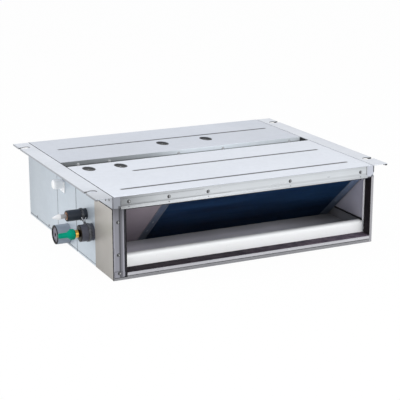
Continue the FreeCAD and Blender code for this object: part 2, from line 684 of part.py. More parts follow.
# Refrigerant connections
# Each stub is a copper pipe in a black sleeve, with a nut and a transport cap that pulls off.


def stub_point(pipe, reach):
    """Point on a stub's axis, reach outside the left side sheet."""
    skin = left_end + size("side_inset")
    return Vector(skin - reach, outlet_face + size(f"{pipe}_setback"), size(f"{pipe}_height"))


def bent_rod(points, radius, bend):
    """Round bar along straight runs joined by tangent arcs."""
    edges = []
    last = points[0]
    for before, corner, after in zip(points, points[1:], points[2:]):
        to_before = (before - corner).normalize()
        to_after = (after - corner).normalize()
        half_turn = (math.pi - to_before.getAngle(to_after)) / 2
        cut = bend * math.tan(half_turn)
        start = corner + to_before * cut
        end = corner + to_after * cut
        inward = (to_before + to_after).normalize()
        middle = corner + inward * (bend / math.cos(half_turn) - bend)
        edges += [Part.makeLine(last, start), Part.Arc(start, middle, end).toShape()]
        last = end
    edges.append(Part.makeLine(last, points[-1]))
    section = Part.Wire([Part.makeCircle(radius, points[0], points[1] - points[0])])
    return Part.Wire(edges).makePipeShell([section], True, False)


GAS_PIPE = 6.35
GAS_END = size("gas_reach") + 20
gas_slope = (stub_point("gas", 0) - COIL_ORIGIN).dot(DOWN_SLOPE)
gas_route = [
    stub_point("gas", GAS_END),
    stub_point("gas", -16),
    coil_point(70, gas_slope, ROWS[2]),
    coil_point(HEADER_X, gas_slope, ROWS[2]),
]
gas_bore = rod(stub_point("gas", GAS_END + 1), stub_point("gas", 0), GAS_PIPE - 1)
gas_pipe = bent_rod(gas_route, GAS_PIPE, 20).cut(gas_bore).cut(header)
solid("gas_pipe", gas_pipe)

LIQUID_PIPE = 3.2
LIQUID_END = size("liquid_reach") + 18
DISTRIBUTOR_X = 62
liquid_inner = stub_point("liquid", 2 - DISTRIBUTOR_X)
liquid_bore = rod(stub_point("liquid", LIQUID_END + 1), stub_point("liquid", 0), LIQUID_PIPE - 0.8)
solid("liquid_pipe", rod(stub_point("liquid", LIQUID_END), liquid_inner, LIQUID_PIPE).cut(liquid_bore))

# Liquid distributor: a cone with three thin feed tubes to the coil's lowest free tubes
DISTRIBUTOR_LENGTH = 24
distributor = Part.makeCone(LIQUID_PIPE + 0.8, 9, DISTRIBUTOR_LENGTH, liquid_inner, Vector(1, 0, 0))
cone_end = liquid_inner + Vector(DISTRIBUTOR_LENGTH - 2, 0, 0)
for number, offset in ((8, -5), (9, 0), (10, 5)):
    feed = rod(cone_end + DOWN_SLOPE * offset, coil_point(left_plate, tube_slope(number), ROWS[0]), 1.8)
    distributor = distributor.fuse(feed)
plate_side = Part.makeBox(50, 400, 400, Vector(left_end + left_plate, outlet_face, 0))
solid("liquid_distributor", distributor.cut(plate_side))


def sleeve(label, pipe, outer, recess, bore):
    """Foam sleeve through the side sheet, with a wider recess at its open end."""
    body = doc.addObject("PartDesign::Body", label)
    end = f"-{SKIN} - {pipe}_reach"
    inside = f"-{SKIN} + 8"
    ring_profile(body, [(end, str(recess)), (end, outer), (inside, outer), (inside, str(bore)),
                        (f"{end} + 8", str(bore)), (f"{end} + 8", str(recess))])
    body.setExpression("Placement.Base.y", bound(behind(f"{pipe}_setback")))
    body.setExpression("Placement.Base.z", bound(f"{pipe}_height"))
    return keep(body, label)


def turned(label, pipe, outline):
    """Piece turned about a stub's axis, from (reach, radius) corners."""
    body = doc.addObject("PartDesign::Body", label)
    ring_profile(body, [(f"-{SKIN} - ({reach})", str(radius)) for reach, radius in outline])
    body.setExpression("Placement.Base.y", bound(behind(f"{pipe}_setback")))
    body.setExpression("Placement.Base.z", bound(f"{pipe}_height"))
    return keep(body, label)


CLEAR = 0.3
FIT = 0.05
sleeve("gas_insulation", "gas", "gas_radius", 15, GAS_PIPE + CLEAR)
sleeve("liquid_insulation", "liquid", "liquid_radius", 9.5, LIQUID_PIPE + CLEAR)
turned("gas_flare_nut", "gas", [
    ("gas_reach - 6", GAS_PIPE + FIT), ("gas_reach - 6", 12), ("gas_reach + 1", 12), ("gas_reach + 3", 9),
    ("gas_reach + 7", 9), ("gas_reach + 7", GAS_PIPE + FIT)])
turned("gas_cap", "gas", [
    ("gas_reach + 7.3", GAS_PIPE + CLEAR), ("gas_reach + 7.3", 11), ("gas_reach + 10", 13),
    ("gas_reach + 23", 13), ("gas_reach + 29", 7), ("gas_reach + 52", 6.8), ("gas_reach + 54", 5),
    ("gas_reach + 54", 0), ("gas_reach + 21", 0), ("gas_reach + 21", GAS_PIPE + CLEAR)])
turned("liquid_flare_nut", "liquid", [
    ("liquid_reach - 7", LIQUID_PIPE + FIT), ("liquid_reach - 7", 9), ("liquid_reach - 0.5", 9),
    ("liquid_reach", 8.5), ("liquid_reach", LIQUID_PIPE + FIT)])
turned("liquid_cap", "liquid", [
    ("liquid_reach + 0.3", LIQUID_PIPE + CLEAR), ("liquid_reach + 0.3", 5.5), ("liquid_reach + 13", 5.5),
    ("liquid_reach + 13", 7.2), ("liquid_reach + 18", 7.2), ("liquid_reach + 34", 1.5),
    ("liquid_reach + 35", 0), ("liquid_reach + 19", 0), ("liquid_reach + 19", LIQUID_PIPE + CLEAR)])

# Clip: a band round each sleeve and the strap between them
CLIP_REACH = 8
CLIP_WIDTH = 7


def band(pipe, grow):
    """Disc across a stub at the clip's place."""
    return Part.makeCylinder(size(f"{pipe}_radius") + grow, CLIP_WIDTH,
                             stub_point(pipe, CLIP_REACH + CLIP_WIDTH), Vector(1, 0, 0))


strap_start = stub_point("liquid", CLIP_REACH + CLIP_WIDTH)
strap_end = stub_point("gas", CLIP_REACH + CLIP_WIDTH)
strap_box = Part.makeBox(CLIP_WIDTH, 3, (strap_end - strap_start).Length, Vector(0, -1.5, 0))
strap_box.Placement = Placement(strap_start, Rotation(Vector(0, 0, 1), strap_end - strap_start))
clip = band("liquid", 2).fuse([band("gas", 2), strap_box])
clip = clip.cut([band("liquid", 0.1), band("gas", 0.1)]).removeSplitter()
solid("pipe_clip", clip)

# Drain
# A hollow pipe out of the pan's bay in a thick sleeve, whose end wall leaves a small hole.

turned("drain_pipe", "drain", [
    ("drain_reach - 7", DRAIN_BORE - 1.5), ("drain_reach - 7", DRAIN_BORE),
    (f"-gauge - 0.5 - {SIDE_WALL}", DRAIN_BORE), (f"-gauge - 0.5 - {SIDE_WALL}", DRAIN_BORE - 1.5)])
turned("drain_insulation", "drain", [
    ("drain_reach", 4), ("drain_reach", "drain_radius - 1.5"), ("drain_reach - 1.5", "drain_radius"),
    ("-gauge", "drain_radius"), ("-gauge", DRAIN_BORE + CLEAR), ("drain_reach - 6.5", DRAIN_BORE + CLEAR),
    ("drain_reach - 6.5", 4)])

# Pump drain port: a socket on a small plate, and the pump with its riser inside
port_y = behind("port_setback")
port_left = f"-{SKIN} - port_reach"
joined("pump_drain_port", [
    primitive("Box", "z", (f"-{SKIN} - 2", f"{port_y} - 15", "port_height - 19"),
              Length="2", Width="30", Height="28"),
    primitive("Cylinder", "x", (f"{port_left} + 3", port_y, "port_height"),
              Radius="port_radius", Height="port_reach - 3 - 1"),
    primitive("Cone", "x", (port_left, port_y, "port_height"),
              Radius1="port_radius - 2.5", Radius2="port_radius", Height="3"),
    primitive("Cylinder", "x", (f"-{SKIN} - 1", port_y, "port_height"),
              Radius="port_radius - 3.3", Height="9")])

PUMP_X = across("52")
PUMP_Y = behind("298")
RISER = 6
joined("drain_pump", [
    primitive("Cone", "z", (PUMP_X, PUMP_Y, "trough_floor"), Radius1="12", Radius2="20", Height="16"),
    primitive("Cylinder", "z", (PUMP_X, PUMP_Y, "trough_floor + 16"), Radius="20", Height="75"),
    primitive("Cylinder", "z", (PUMP_X, PUMP_Y, "trough_floor + 91"), Radius="13", Height="18"),
    primitive("Cylinder", "y", (PUMP_X, PUMP_Y, "95"), Radius=str(RISER), Height="port_setback - 298"),
    primitive("Sphere", "z", (PUMP_X, port_y, "95"), Radius=str(RISER)),
    primitive("Cylinder", "z", (PUMP_X, port_y, "95"), Radius=str(RISER), Height="port_height - 95"),
    primitive("Sphere", "z", (PUMP_X, port_y, "port_height"), Radius=str(RISER)),
    primitive("Cylinder", "x", (f"-{SKIN} + 8", port_y, "port_height"),
              Radius=str(RISER), Height=f"{PUMP_X} + {SKIN} - 8")])

# Fans
# A partition with two outlets, a scroll round each impeller, and one motor that drives both.

fan_y = outlet_face + size("fan_setback")
fan_z = size("fan_height")
partition_y = outlet_face + size("channel_setback") + size("channel_width") + size("gauge")
wheel_offset = size("motor_length") / 2 + size("scroll_gap") + size("scroll_width") / 2
WHEELS = {"left": size("fan_shift") - wheel_offset, "right": size("fan_shift") + wheel_offset}
OUTLET_SLOPE = 7
TONGUE_ANGLE = 165
TONGUE_RISE = 8


def quarter(middle, radius, start, end):
    """Arc about middle between two angles, turned from Y towards Z."""
    def at(angle):
        turn = math.radians(angle)
        return middle + Vector(0, radius * math.cos(turn), radius * math.sin(turn))
    return Part.Arc(at(start), at((start + end) / 2), at(end)).toShape()


def scroll_face(grow):
    """Scroll's side view: three arcs whose centres stand on a small square, and a straight outlet."""
    step = size("scroll_growth")
    radius = size("scroll_radius") + grow
    first = quarter(Vector(0, fan_y + step / 2, fan_z - step / 2), radius, TONGUE_ANGLE, 270)
    second = quarter(Vector(0, fan_y + step / 2, fan_z + step / 2), radius + step, 270, 360)
    third = quarter(Vector(0, fan_y - step / 2, fan_z + step / 2), radius + 2 * step, 0, 90 + OUTLET_SLOPE)
    top = third.valueAt(third.LastParameter)
    fall = math.tan(math.radians(OUTLET_SLOPE))
    roof = Vector(0, partition_y, top.z - (top.y - partition_y) * fall)
    lip = Vector(0, partition_y, fan_z + TONGUE_RISE - grow)
    tongue = first.valueAt(first.FirstParameter)
    straight = [Part.makeLine(top, roof), Part.makeLine(roof, lip), Part.makeLine(lip, tongue)]
    return Part.Face(Part.Wire([first, second, third] + straight))


def inlet_lip(x, direction, inner):
    """Flared ring round a scroll's inlet, standing out along direction."""
    centre = Vector(x, fan_y, fan_z)
    out = Vector(direction, 0, 0)
    wall = size("scroll_wall")
    return Part.makeCone(inner + wall, inner + 3 * wall, 5, centre, out).cut(
        Part.makeCone(inner, inner + 2 * wall, 5, centre, out))


wall = size("scroll_wall")
inlet_radius = size("wheel_radius") - size("blade_depth") + 1
outer_face = scroll_face(wall)
inner_face = scroll_face(0)
mouth_top = max(corner.Z for corner in inner_face.Vertexes if abs(corner.Y - partition_y) < wall)
half_scroll = size("scroll_width") / 2
for side, x in WHEELS.items():
    outer = outer_face.extrude(Vector(2 * half_scroll, 0, 0)).translated(Vector(x - half_scroll, 0, 0))
    inner = inner_face.extrude(Vector(2 * (half_scroll - wall), 0, 0))
    inner = inner.translated(Vector(x - half_scroll + wall, 0, 0))
    ends = [(x - half_scroll, -1), (x + half_scroll, 1)]
    eye_start, eye_end = [Vector(end + direction, fan_y, fan_z) for end, direction in ends]
    housing = outer.cut([inner, rod(eye_start, eye_end, inlet_radius)])
    housing = housing.fuse([inlet_lip(end, direction, inlet_radius) for end, direction in ends])
    for half, low in (("lower", 0), ("upper", fan_z)):
        span = fan_z if half == "lower" else size("casing_height")
        block = Part.makeBox(2 * half_scroll + 40, 400, span,
                             Vector(x - half_scroll - 20, partition_y - 50, low))
        solid(f"{side}_fan_housing_{half}", housing.common(block).removeSplitter())

MOUTH_HALF = "(scroll_width/2 - scroll_wall)"
mouths = []
for direction in (-1, 1):
    middle = f"(fan_shift + {direction}*(motor_length/2 + scroll_gap + scroll_width/2))"
    mouths.append(rectangle(f"{middle} - {MOUTH_HALF}", f"fan_height + {TONGUE_RISE}",
                            f"{middle} + {MOUTH_HALF}", str(round(mouth_top, 2))))
extrusion("partition_plate", "XZ_Plane", behind("(channel_setback + channel_width)"), "gauge",
          rectangle(f"-{INNER}", "gauge", INNER, f"{CHANNEL_FLOOR} - gauge"), *mouths)

# Impellers: curved blades between two end rings, on a middle disc with a hub

RIM = 3
RING_LENGTH = 6
HUB_RADIUS = 14
HUB_HALF = 12
BLADE_BEND = 10.35
TIP_SINE = math.sin(math.radians(-14))
BLADE_ROOT = "(wheel_radius - blade_depth)"


def blade_sketch(body):
    """Blade's section: two arcs about one centre, radial at the root and leaning forward at the tip."""
    sketch = draw(body, "YZ_Plane", "-wheel_width/2", [])
    root = size("wheel_radius") - size("blade_depth")
    centre = Vector(root, BLADE_BEND, 0)
    tip = math.asin(TIP_SINE)
    for sign in (1, -1):
        radius = BLADE_BEND + sign * size("blade_gauge") / 2
        arc = Part.ArcOfCircle(Part.Circle(centre, Vector(0, 0, 1), radius), -math.pi / 2, tip)
        sketch.addGeometry(arc, False)
    ends = [(sketch.Geometry[i].StartPoint, sketch.Geometry[i].EndPoint) for i in (0, 1)]
    for end in (0, 1):
        sketch.addGeometry(Part.LineSegment(ends[0][end], ends[1][end]), False)
        sketch.addConstraint(Sketcher.Constraint("Coincident", 2 + end, 1, 0, 1 + end))
        sketch.addConstraint(Sketcher.Constraint("Coincident", 2 + end, 2, 1, 1 + end))
    sketch.addConstraint(Sketcher.Constraint("Coincident", 0, 3, 1, 3))

    def pin(constraint, formula):
        index = sketch.addConstraint(constraint)
        sketch.setExpression(f"Constraints[{index}]", bound(formula))

    pin(Sketcher.Constraint("DistanceX", 0, 3, root), BLADE_ROOT)
    pin(Sketcher.Constraint("DistanceY", 0, 3, BLADE_BEND), str(BLADE_BEND))
    for arc, sign in ((0, 1), (1, -1)):
        radius = BLADE_BEND + sign * size("blade_gauge") / 2
        formula = f"({BLADE_BEND} + {sign}*blade_gauge/2)"
        pin(Sketcher.Constraint("Radius", arc, radius), formula)
        pin(Sketcher.Constraint("DistanceX", arc, 1, root), BLADE_ROOT)
        pin(Sketcher.Constraint("DistanceY", arc, 2, BLADE_BEND + radius * TIP_SINE),
            f"{BLADE_BEND} + {formula}*({TIP_SINE})")
    return sketch


for side, direction in (("left", -1), ("right", 1)):
    label = f"{side}_impeller"
    wheel = doc.addObject("PartDesign::Body", label)
    bore = f"shaft_radius + {FIT}"
    ring_profile(wheel, [(str(-HUB_HALF), bore), (str(-HUB_HALF), str(HUB_RADIUS)), ("-1", str(HUB_RADIUS)),
                         ("-1", "wheel_radius - 2"), ("1", "wheel_radius - 2"), ("1", str(HUB_RADIUS)),
                         (str(HUB_HALF), str(HUB_RADIUS)), (str(HUB_HALF), bore)])
    blade = wheel.newObject("PartDesign::Pad", "Blade")
    blade.Profile = blade_sketch(wheel)
    blade.setExpression("Length", bound("wheel_width"))
    blades = wheel.newObject("PartDesign::PolarPattern", "Blades")
    blades.Originals = [blade]
    blades.Axis = (next(f for f in wheel.Origin.OriginFeatures if f.Role == "X_Axis"), [""])
    blades.Angle = 360
    blades.setExpression("Occurrences", bound("blade_count"))
    wheel.Tip = blades
    for end in (-1, 1):
        outer_end = f"{end}*wheel_width/2"
        inner_end = f"{end}*(wheel_width/2 - {RING_LENGTH})"
        ring_profile(wheel, rectangle(inner_end, f"wheel_radius - {RIM}", outer_end, "wheel_radius"))
    middle = f"fan_shift + {direction}*(motor_length/2 + scroll_gap + scroll_width/2)"
    wheel.setExpression("Placement.Base.x", bound(middle))
    wheel.setExpression("Placement.Base.y", bound(behind("fan_setback")))
    wheel.setExpression("Placement.Base.z", bound("fan_height"))
    keep(wheel, label)

shaft_half = f"(motor_length/2 + scroll_gap + scroll_width/2 + {HUB_HALF} + 6)"
keep(primitive("Cylinder", "x", (f"fan_shift - {shaft_half}", behind("fan_setback"), "fan_height"),
               Radius="shaft_radius", Height=f"2*{shaft_half}"), "fan_shaft")

# Motor: a round body with stepped end shields, bored for the shaft
motor = doc.addObject("PartDesign::Body", "fan_motor")
END_SHIELD = 10
BOSS = 14
BOSS_REACH = 9
half_motor = "motor_length/2"
motor_bore = f"shaft_radius + {FIT}"
ring_profile(motor, [
    (f"-{half_motor} - {BOSS_REACH}", motor_bore), (f"-{half_motor} - {BOSS_REACH}", str(BOSS)),
    (f"-{half_motor}", str(BOSS)), (f"-{half_motor}", "motor_radius - 10"),
    (f"-{half_motor} + {END_SHIELD}", "motor_radius"), (f"{half_motor} - {END_SHIELD}", "motor_radius"),
    (half_motor, "motor_radius - 10"), (half_motor, str(BOSS)),
    (f"{half_motor} + {BOSS_REACH}", str(BOSS)), (f"{half_motor} + {BOSS_REACH}", motor_bore)])
motor.setExpression("Placement.Base.x", bound("fan_shift"))
motor.setExpression("Placement.Base.y", bound(behind("fan_setback")))
motor.setExpression("Placement.Base.z", bound("fan_height"))
keep(motor, "fan_motor")

# Motor bracket: a foot on the bottom panel, a cradle and a band over the motor
bracket = doc.addObject("PartDesign::Body", "motor_bracket")
BRACKET_LENGTH = 56
CRADLE_HALF = 40
FOOT_HALF = 62
fan_line = behind("fan_setback")
bracket_start = f"fan_shift - {BRACKET_LENGTH / 2}"
pad(bracket, "YZ_Plane", bracket_start, str(BRACKET_LENGTH), [[
    (f"{fan_line} - {FOOT_HALF}", "gauge"), (f"{fan_line} + {FOOT_HALF}", "gauge"),
    (f"{fan_line} + {FOOT_HALF}", "gauge + 3"), (f"{fan_line} + {CRADLE_HALF}", "gauge + 3"),
    (f"{fan_line} + {CRADLE_HALF}", "fan_height - 15"), (f"{fan_line} - {CRADLE_HALF}", "fan_height - 15"),
    (f"{fan_line} - {CRADLE_HALF}", "gauge + 3"), (f"{fan_line} - {FOOT_HALF}", "gauge + 3")]])
pad(bracket, "YZ_Plane", bracket_start, str(BRACKET_LENGTH), [(fan_line, "fan_height", "motor_radius + 3")])
pocket(bracket, "YZ_Plane", f"{bracket_start} - 1", f"{BRACKET_LENGTH} + 2",
       [(fan_line, "fan_height", "motor_radius + 0.1")])
pocket(bracket, "YZ_Plane", f"{bracket_start} - 1", f"{BRACKET_LENGTH} + 2",
       [rectangle(f"{fan_line} - 26", "gauge + 3", f"{fan_line} + 26", "fan_height - motor_radius - 12")])
keep(bracket, "motor_bracket")

# Air inlet
# A bordered frame at the back, with guides that hold the filter from above and below.

DUCT_HOLE = 2
duct_holes = [(f"{end}*duct_pitch_across/2", f"casing_height/2 + {up}*duct_pitch_up/2", str(DUCT_HOLE))
              for end in (-1, 1) for up in (-1, 1)]
extrusion("inlet_frame", "XZ_Plane", f"{FRONT} - gauge", "gauge",
          rectangle(f"-{SKIN}", "0", SKIN, "casing_height - gauge"),
          rectangle(f"-{SKIN} + inlet_border", "inlet_border", f"{SKIN} - inlet_border",
                    "casing_height - inlet_border"), *duct_holes)

FILTER_PLAY = 0.3
GUIDE_REACH = 12
FILTER_LOW = "((casing_height - filter_height)/2)"
FILTER_HIGH = "((casing_height + filter_height)/2)"
guide_back = FRONT
slot_front = f"({FRONT} + gauge)"
slot_back = f"({slot_front} + filter_depth + {2 * FILTER_PLAY})"
guide_far = f"({slot_back} + gauge)"


def guide(floor, sign):
    """Channel that opens towards the filter, its floor at the given height."""
    inside = f"{floor}"
    outside = f"{floor} - {sign}*gauge"
    rim = f"{floor} + {sign}*{GUIDE_REACH}"
    return [(guide_back, outside), (guide_far, outside), (guide_far, rim), (slot_back, rim),
            (slot_back, inside), (slot_front, inside), (slot_front, rim), (guide_back, rim)]


lower_guide = doc.addObject("PartDesign::Body", "LowerGuide")
pad(lower_guide, "YZ_Plane", "-filter_width/2", "filter_width",
    [guide(f"({FILTER_LOW} - {FILTER_PLAY})", 1)])
upper_guide = doc.addObject("PartDesign::Body", "UpperGuide")
pad(upper_guide, "YZ_Plane", "-filter_width/2", "filter_width",
    [guide(f"({FILTER_HIGH} + {FILTER_PLAY})", -1)])
group("filter_guides", [lower_guide, upper_guide])

MESH = 0.8
BORDER = 11
BAR = 5
COLUMNS = 6
filter_front = f"({slot_front} + {FILTER_PLAY})"
windows = []
for column in range(COLUMNS):
    for row in range(2):
        pitch_x = f"((filter_width - {2 * BORDER} + {BAR})/{COLUMNS})"
        pitch_z = f"((filter_height - {2 * BORDER} + {BAR})/2)"
        low_x = f"(-filter_width/2 + {BORDER} + {column}*{pitch_x})"
        low_z = f"({FILTER_LOW} + {BORDER} + {row}*{pitch_z})"
        windows.append(rectangle(low_x, low_z,
                                 f"{low_x} + {pitch_x} - {BAR}", f"{low_z} + {pitch_z} - {BAR}"))
filter_frame = extrusion("air_filter_frame", "XZ_Plane",
                         f"{filter_front} + {MESH}", f"filter_depth - {MESH}",
                         rectangle("-filter_width/2", FILTER_LOW, "filter_width/2", FILTER_HIGH), *windows)
pad(filter_frame, "XZ_Plane", f"{filter_front} + {MESH}", f"filter_depth - {MESH}",
    [rectangle("filter_width/2 - 1", "casing_height/2 - 20",
               "filter_width/2 + 12", "casing_height/2 + 20")])
extrusion("air_filter_mesh", "XZ_Plane", filter_front, str(MESH),
          rectangle("-filter_width/2 + 4", f"{FILTER_LOW} + 4", "filter_width/2 - 4", f"{FILTER_HIGH} - 4"))

# Control box behind the left rear sheet, open towards it, with its circuit board

BOX_LEFT = f"(-{INNER})"
BOX_DEPTH = 64
box_front = behind("392")
box_back = behind("600")
control = extrusion("control_box", "YZ_Plane", BOX_LEFT, str(BOX_DEPTH),
                    rectangle(box_front, "gauge", box_back, "casing_height - 12"))
pocket(control, "YZ_Plane", f"{BOX_LEFT} - 1", f"{BOX_DEPTH} - 0.2",
       [rectangle(f"{box_front} + 1.2", "gauge + 1.2", f"{box_back} - 1.2", "casing_height - 13.2")])
BOARD = 1.6
board_back = f"({BOX_LEFT} + {BOX_DEPTH} - 7)"
board_face = f"({board_back} - {BOARD})"


def component(front, low, deep, high, tall):
    """Block on the circuit board, standing out towards the left side sheet."""
    return primitive("Box", "z", (f"{board_face} - {tall}", behind(front), str(low)),
                     Length=str(tall), Width=str(deep), Height=str(high))


joined("circuit_board", [
    primitive("Box", "z", (board_face, behind("402"), "20"), Length=str(BOARD), Width="140", Height="150"),
    primitive("Box", "z", (board_back, behind("412"), "30"), Length="5.8", Width="8", Height="8"),
    primitive("Box", "z", (board_back, behind("522"), "150"), Length="5.8", Width="8", Height="8"),
    component("410", low=30, deep=30, high=40, tall=26),
    component("450", low=30, deep=24, high=24, tall=18),
    component("484", low=34, deep=44, high=14, tall=12),
    component("410", low=90, deep=18, high=18, tall=22),
    component("440", low=84, deep=60, high=10, tall=10),
    component("412", low=130, deep=110, high=22, tall=16)])

# Screws: hexagon heads on the sheets


def screw(axis, x, y, z, radius="screw_radius"):
    """Hexagon head that stands on a surface; the place is the head's lower end along its axis."""
    head = primitive("Prism", axis, (x, y, z), Circumradius=radius, Height="screw_head")
    head.Polygon = 6
    return head


PROUD_FACE = f"{FACE} - screw_head"
TOP_ROW = (-310, -210, -110, 110, 310)
BOTTOM_ROW = (-110, 110, 212, 310)
front_heads = [screw("y", str(x), PROUD_FACE, "186") for x in TOP_ROW]
front_heads += [screw("y", str(x), PROUD_FACE, "13.5", "2.2") for x in BOTTOM_ROW]
front_heads += [screw("y", across("12.6"), PROUD_FACE, height) for height in ("140", "62")]
front_heads.append(screw("y", across("14"), f"{PROUD_FACE} - gauge", "18"))
group("flange_screws", front_heads)

dimple_level = "casing_height - dimple_depth"
dimple_places = (("48", "275"), ("131", "272"), ("325", "453"), ("454.5", "454.5"))
channel_places = ("51", "136", "330", "460", "662")
foot_places = (("557", "8"), ("460", "10"))
panel_heads = [screw("z", across(x), behind(y), dimple_level) for x, y in dimple_places]
panel_heads += [screw("y", across(x), f"{channel_back} - screw_head", "191") for x in channel_places]
panel_heads += [screw("x", f"-{SKIN} - screw_head", behind(y), z, "3") for y, z in foot_places]
group("panel_screws", panel_heads)

# Checks and files

doc.recompute()
for item in doc.Objects:
    if "Invalid" in item.State or "Error" in item.State:
        raise RuntimeError(f"{item.Label} failed: {item.State}")
os.makedirs("parts", exist_ok=True)
for piece in pieces:
    shape = piece.Shape
    if shape.isNull() or not shape.isValid():
        raise RuntimeError(f"{piece.Label} has no valid shape")
    if shape.Volume < 1:
        raise RuntimeError(f"{piece.Label} is empty")
    shape.exportStep(f"parts/{piece.Label}.step")
    print(f"{piece.Label}: {len(shape.Solids)} solid(s), {shape.Volume / 1000:.1f} cm3")
print(len(pieces), "nodes")
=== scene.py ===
import math

import bmesh
import bpy
import numpy as np
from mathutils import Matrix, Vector


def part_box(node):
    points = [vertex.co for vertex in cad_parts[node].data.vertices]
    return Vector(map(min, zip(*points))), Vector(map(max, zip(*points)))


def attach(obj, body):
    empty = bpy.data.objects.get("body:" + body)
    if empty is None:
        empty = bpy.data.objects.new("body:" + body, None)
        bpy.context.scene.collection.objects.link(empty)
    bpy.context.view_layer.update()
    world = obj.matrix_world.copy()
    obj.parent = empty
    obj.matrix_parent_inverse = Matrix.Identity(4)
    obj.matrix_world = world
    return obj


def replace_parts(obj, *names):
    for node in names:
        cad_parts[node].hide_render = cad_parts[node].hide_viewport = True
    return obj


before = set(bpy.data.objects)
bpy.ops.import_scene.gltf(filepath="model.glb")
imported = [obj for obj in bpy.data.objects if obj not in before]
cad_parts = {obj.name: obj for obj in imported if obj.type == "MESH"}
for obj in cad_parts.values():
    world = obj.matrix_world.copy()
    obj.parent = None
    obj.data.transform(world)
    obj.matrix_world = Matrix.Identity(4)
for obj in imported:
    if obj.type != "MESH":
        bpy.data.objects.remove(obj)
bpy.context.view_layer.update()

# Studio: the unit stands on a pale floor in a white room, seen from the front left and a little
# above, under a broad lamp overhead, one at the left, and a low and a high one in front.

CAMERA_PLACE = Vector((-1.32097, -2.78398, 0.93444))
CAMERA_TURN = math.radians(25.665)
CAMERA_DIP = math.radians(15.588)
CAMERA_LENS = 110.2
FLOOR_HALF = 14
FLOOR_LEVEL = -0.0003
FLOOR_GLOW = 0.97
ROOM_LIGHT = 0.6

line_of_sight = Vector((math.sin(CAMERA_TURN) * math.cos(CAMERA_DIP),
                        math.cos(CAMERA_TURN) * math.cos(CAMERA_DIP), -math.sin(CAMERA_DIP)))
camera = bpy.data.objects.new("camera", bpy.data.cameras.new("camera"))
camera.data.lens = CAMERA_LENS
camera.location = CAMERA_PLACE
camera.rotation_euler = line_of_sight.to_track_quat("-Z", "Y").to_euler()
bpy.context.scene.collection.objects.link(camera)
bpy.context.scene.camera = camera
bpy.context.scene.view_settings.view_transform = "Standard"


def seen_white(tree, lit_shader, white_shader, share=1.0):
    """Mix of two shaders: a share of the white one where the camera, metal or glass sees the surface,
    and the lit one for all other light."""
    path = tree.nodes.new("ShaderNodeLightPath")
    seen = path.outputs["Is Camera Ray"]
    for ray in ("Is Glossy Ray", "Is Transmission Ray"):
        either = tree.nodes.new("ShaderNodeMath")
        either.operation = "MAXIMUM"
        tree.links.new(seen, either.inputs[0])
        tree.links.new(path.outputs[ray], either.inputs[1])
        seen = either.outputs[0]
    part = tree.nodes.new("ShaderNodeMath")
    part.operation = "MULTIPLY"
    part.inputs[1].default_value = share
    tree.links.new(seen, part.inputs[0])
    mix = tree.nodes.new("ShaderNodeMixShader")
    for source, socket in zip((part, lit_shader, white_shader), mix.inputs):
        tree.links.new(source.outputs[0], socket)
    return mix.outputs[0]


room = bpy.data.worlds.new("white_room")
room.use_nodes = True
room_tree = room.node_tree
room_light = room_tree.nodes["Background"]
room_light.inputs["Color"].default_value = (0.95, 0.975, 1, 1)
room_light.inputs["Strength"].default_value = ROOM_LIGHT
room_white = room_tree.nodes.new("ShaderNodeBackground")
room_white.inputs["Color"].default_value = (1, 1, 1, 1)
room_tree.links.new(seen_white(room_tree, room_light, room_white), room_tree.nodes["World Output"].inputs[0])
bpy.context.scene.world = room

floor_mesh = bpy.data.meshes.new("floor")
floor_mesh.from_pydata([(x * FLOOR_HALF, y * FLOOR_HALF, FLOOR_LEVEL)
                        for x, y in ((-1, -1), (1, -1), (1, 1), (-1, 1))], [], [(0, 1, 2, 3)])
floor = bpy.data.objects.new("floor", floor_mesh)
bpy.context.scene.collection.objects.link(floor)
paper = bpy.data.materials.new("floor_paper")
paper.use_nodes = True
paper_tree = paper.node_tree
paper_shader = paper_tree.nodes["Principled BSDF"]
paper_shader.inputs["Base Color"].default_value = (0.9, 0.9, 0.9, 1)
paper_shader.inputs["Roughness"].default_value = 0.9
paper_glow = paper_tree.nodes.new("ShaderNodeEmission")
paper_tree.links.new(seen_white(paper_tree, paper_shader, paper_glow, FLOOR_GLOW),
                     paper_tree.nodes["Material Output"].inputs[0])
floor_mesh.materials.append(paper)


def soft_box(name, place, target, size, power):
    """Square lamp at a place, turned to a target."""
    lamp = bpy.data.lights.new(name, "AREA")
    lamp.shape = "RECTANGLE"
    lamp.size, lamp.size_y = size
    lamp.energy = power
    holder = bpy.data.objects.new(name, lamp)
    holder.location = place
    holder.rotation_euler = (Vector(target) - Vector(place)).to_track_quat("-Z", "Y").to_euler()
    bpy.context.scene.collection.objects.link(holder)


soft_box("overhead_lamp", (-0.3, 0.2, 2.6), (0, 0, 0), (3, 3), 25)
soft_box("left_lamp", (-2.8, 0.2, 0.9), (0, 0, 0.1), (1.6, 1.4), 23)
soft_box("front_lamp", (0.3, -3, 0.6), (0, 0, 0.1), (2.2, 1.0), 17)
soft_box("high_lamp", (0.2, -2.7, 1.5), (0, -0.2, 0.1), (1.6, 0.7), 22)

# Side sheets: four pieces of galvanised steel sheet a millimetre thick, folded in at the foot and
# butted at two seams on the left. The zinc leaves a cloudy, faintly crystalline grey, painted
# darker towards the back and the top as shade. Their top edges are painted near black as the
# shade in the gap under each rail, and the dark strips in the seams and along the fold at the foot
# are sealant darkened further as the painted shade of those gaps.

FOLD = 0.0003
SHORTEST_FOLD = 4
SHARP_BEND = math.radians(30)
RING_BEND = math.radians(40)
FLAT_BEND = math.radians(0.5)
MERGE_REACH = 2e-6
CLOUD_SPAN = 0.3, 0.7
SPECK_SPAN = 0.66, 0.72
SPECK_SIZE = 130
CRYSTAL_SHADE = 0.955
LONG_WAVE = 210
SHORT_WAVE = 550
FACING = 0.7
GAP_SHADE_ABOVE = 0.19
left_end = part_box("left_front_cover")[0].x
sheet_face = left_end + 0.002


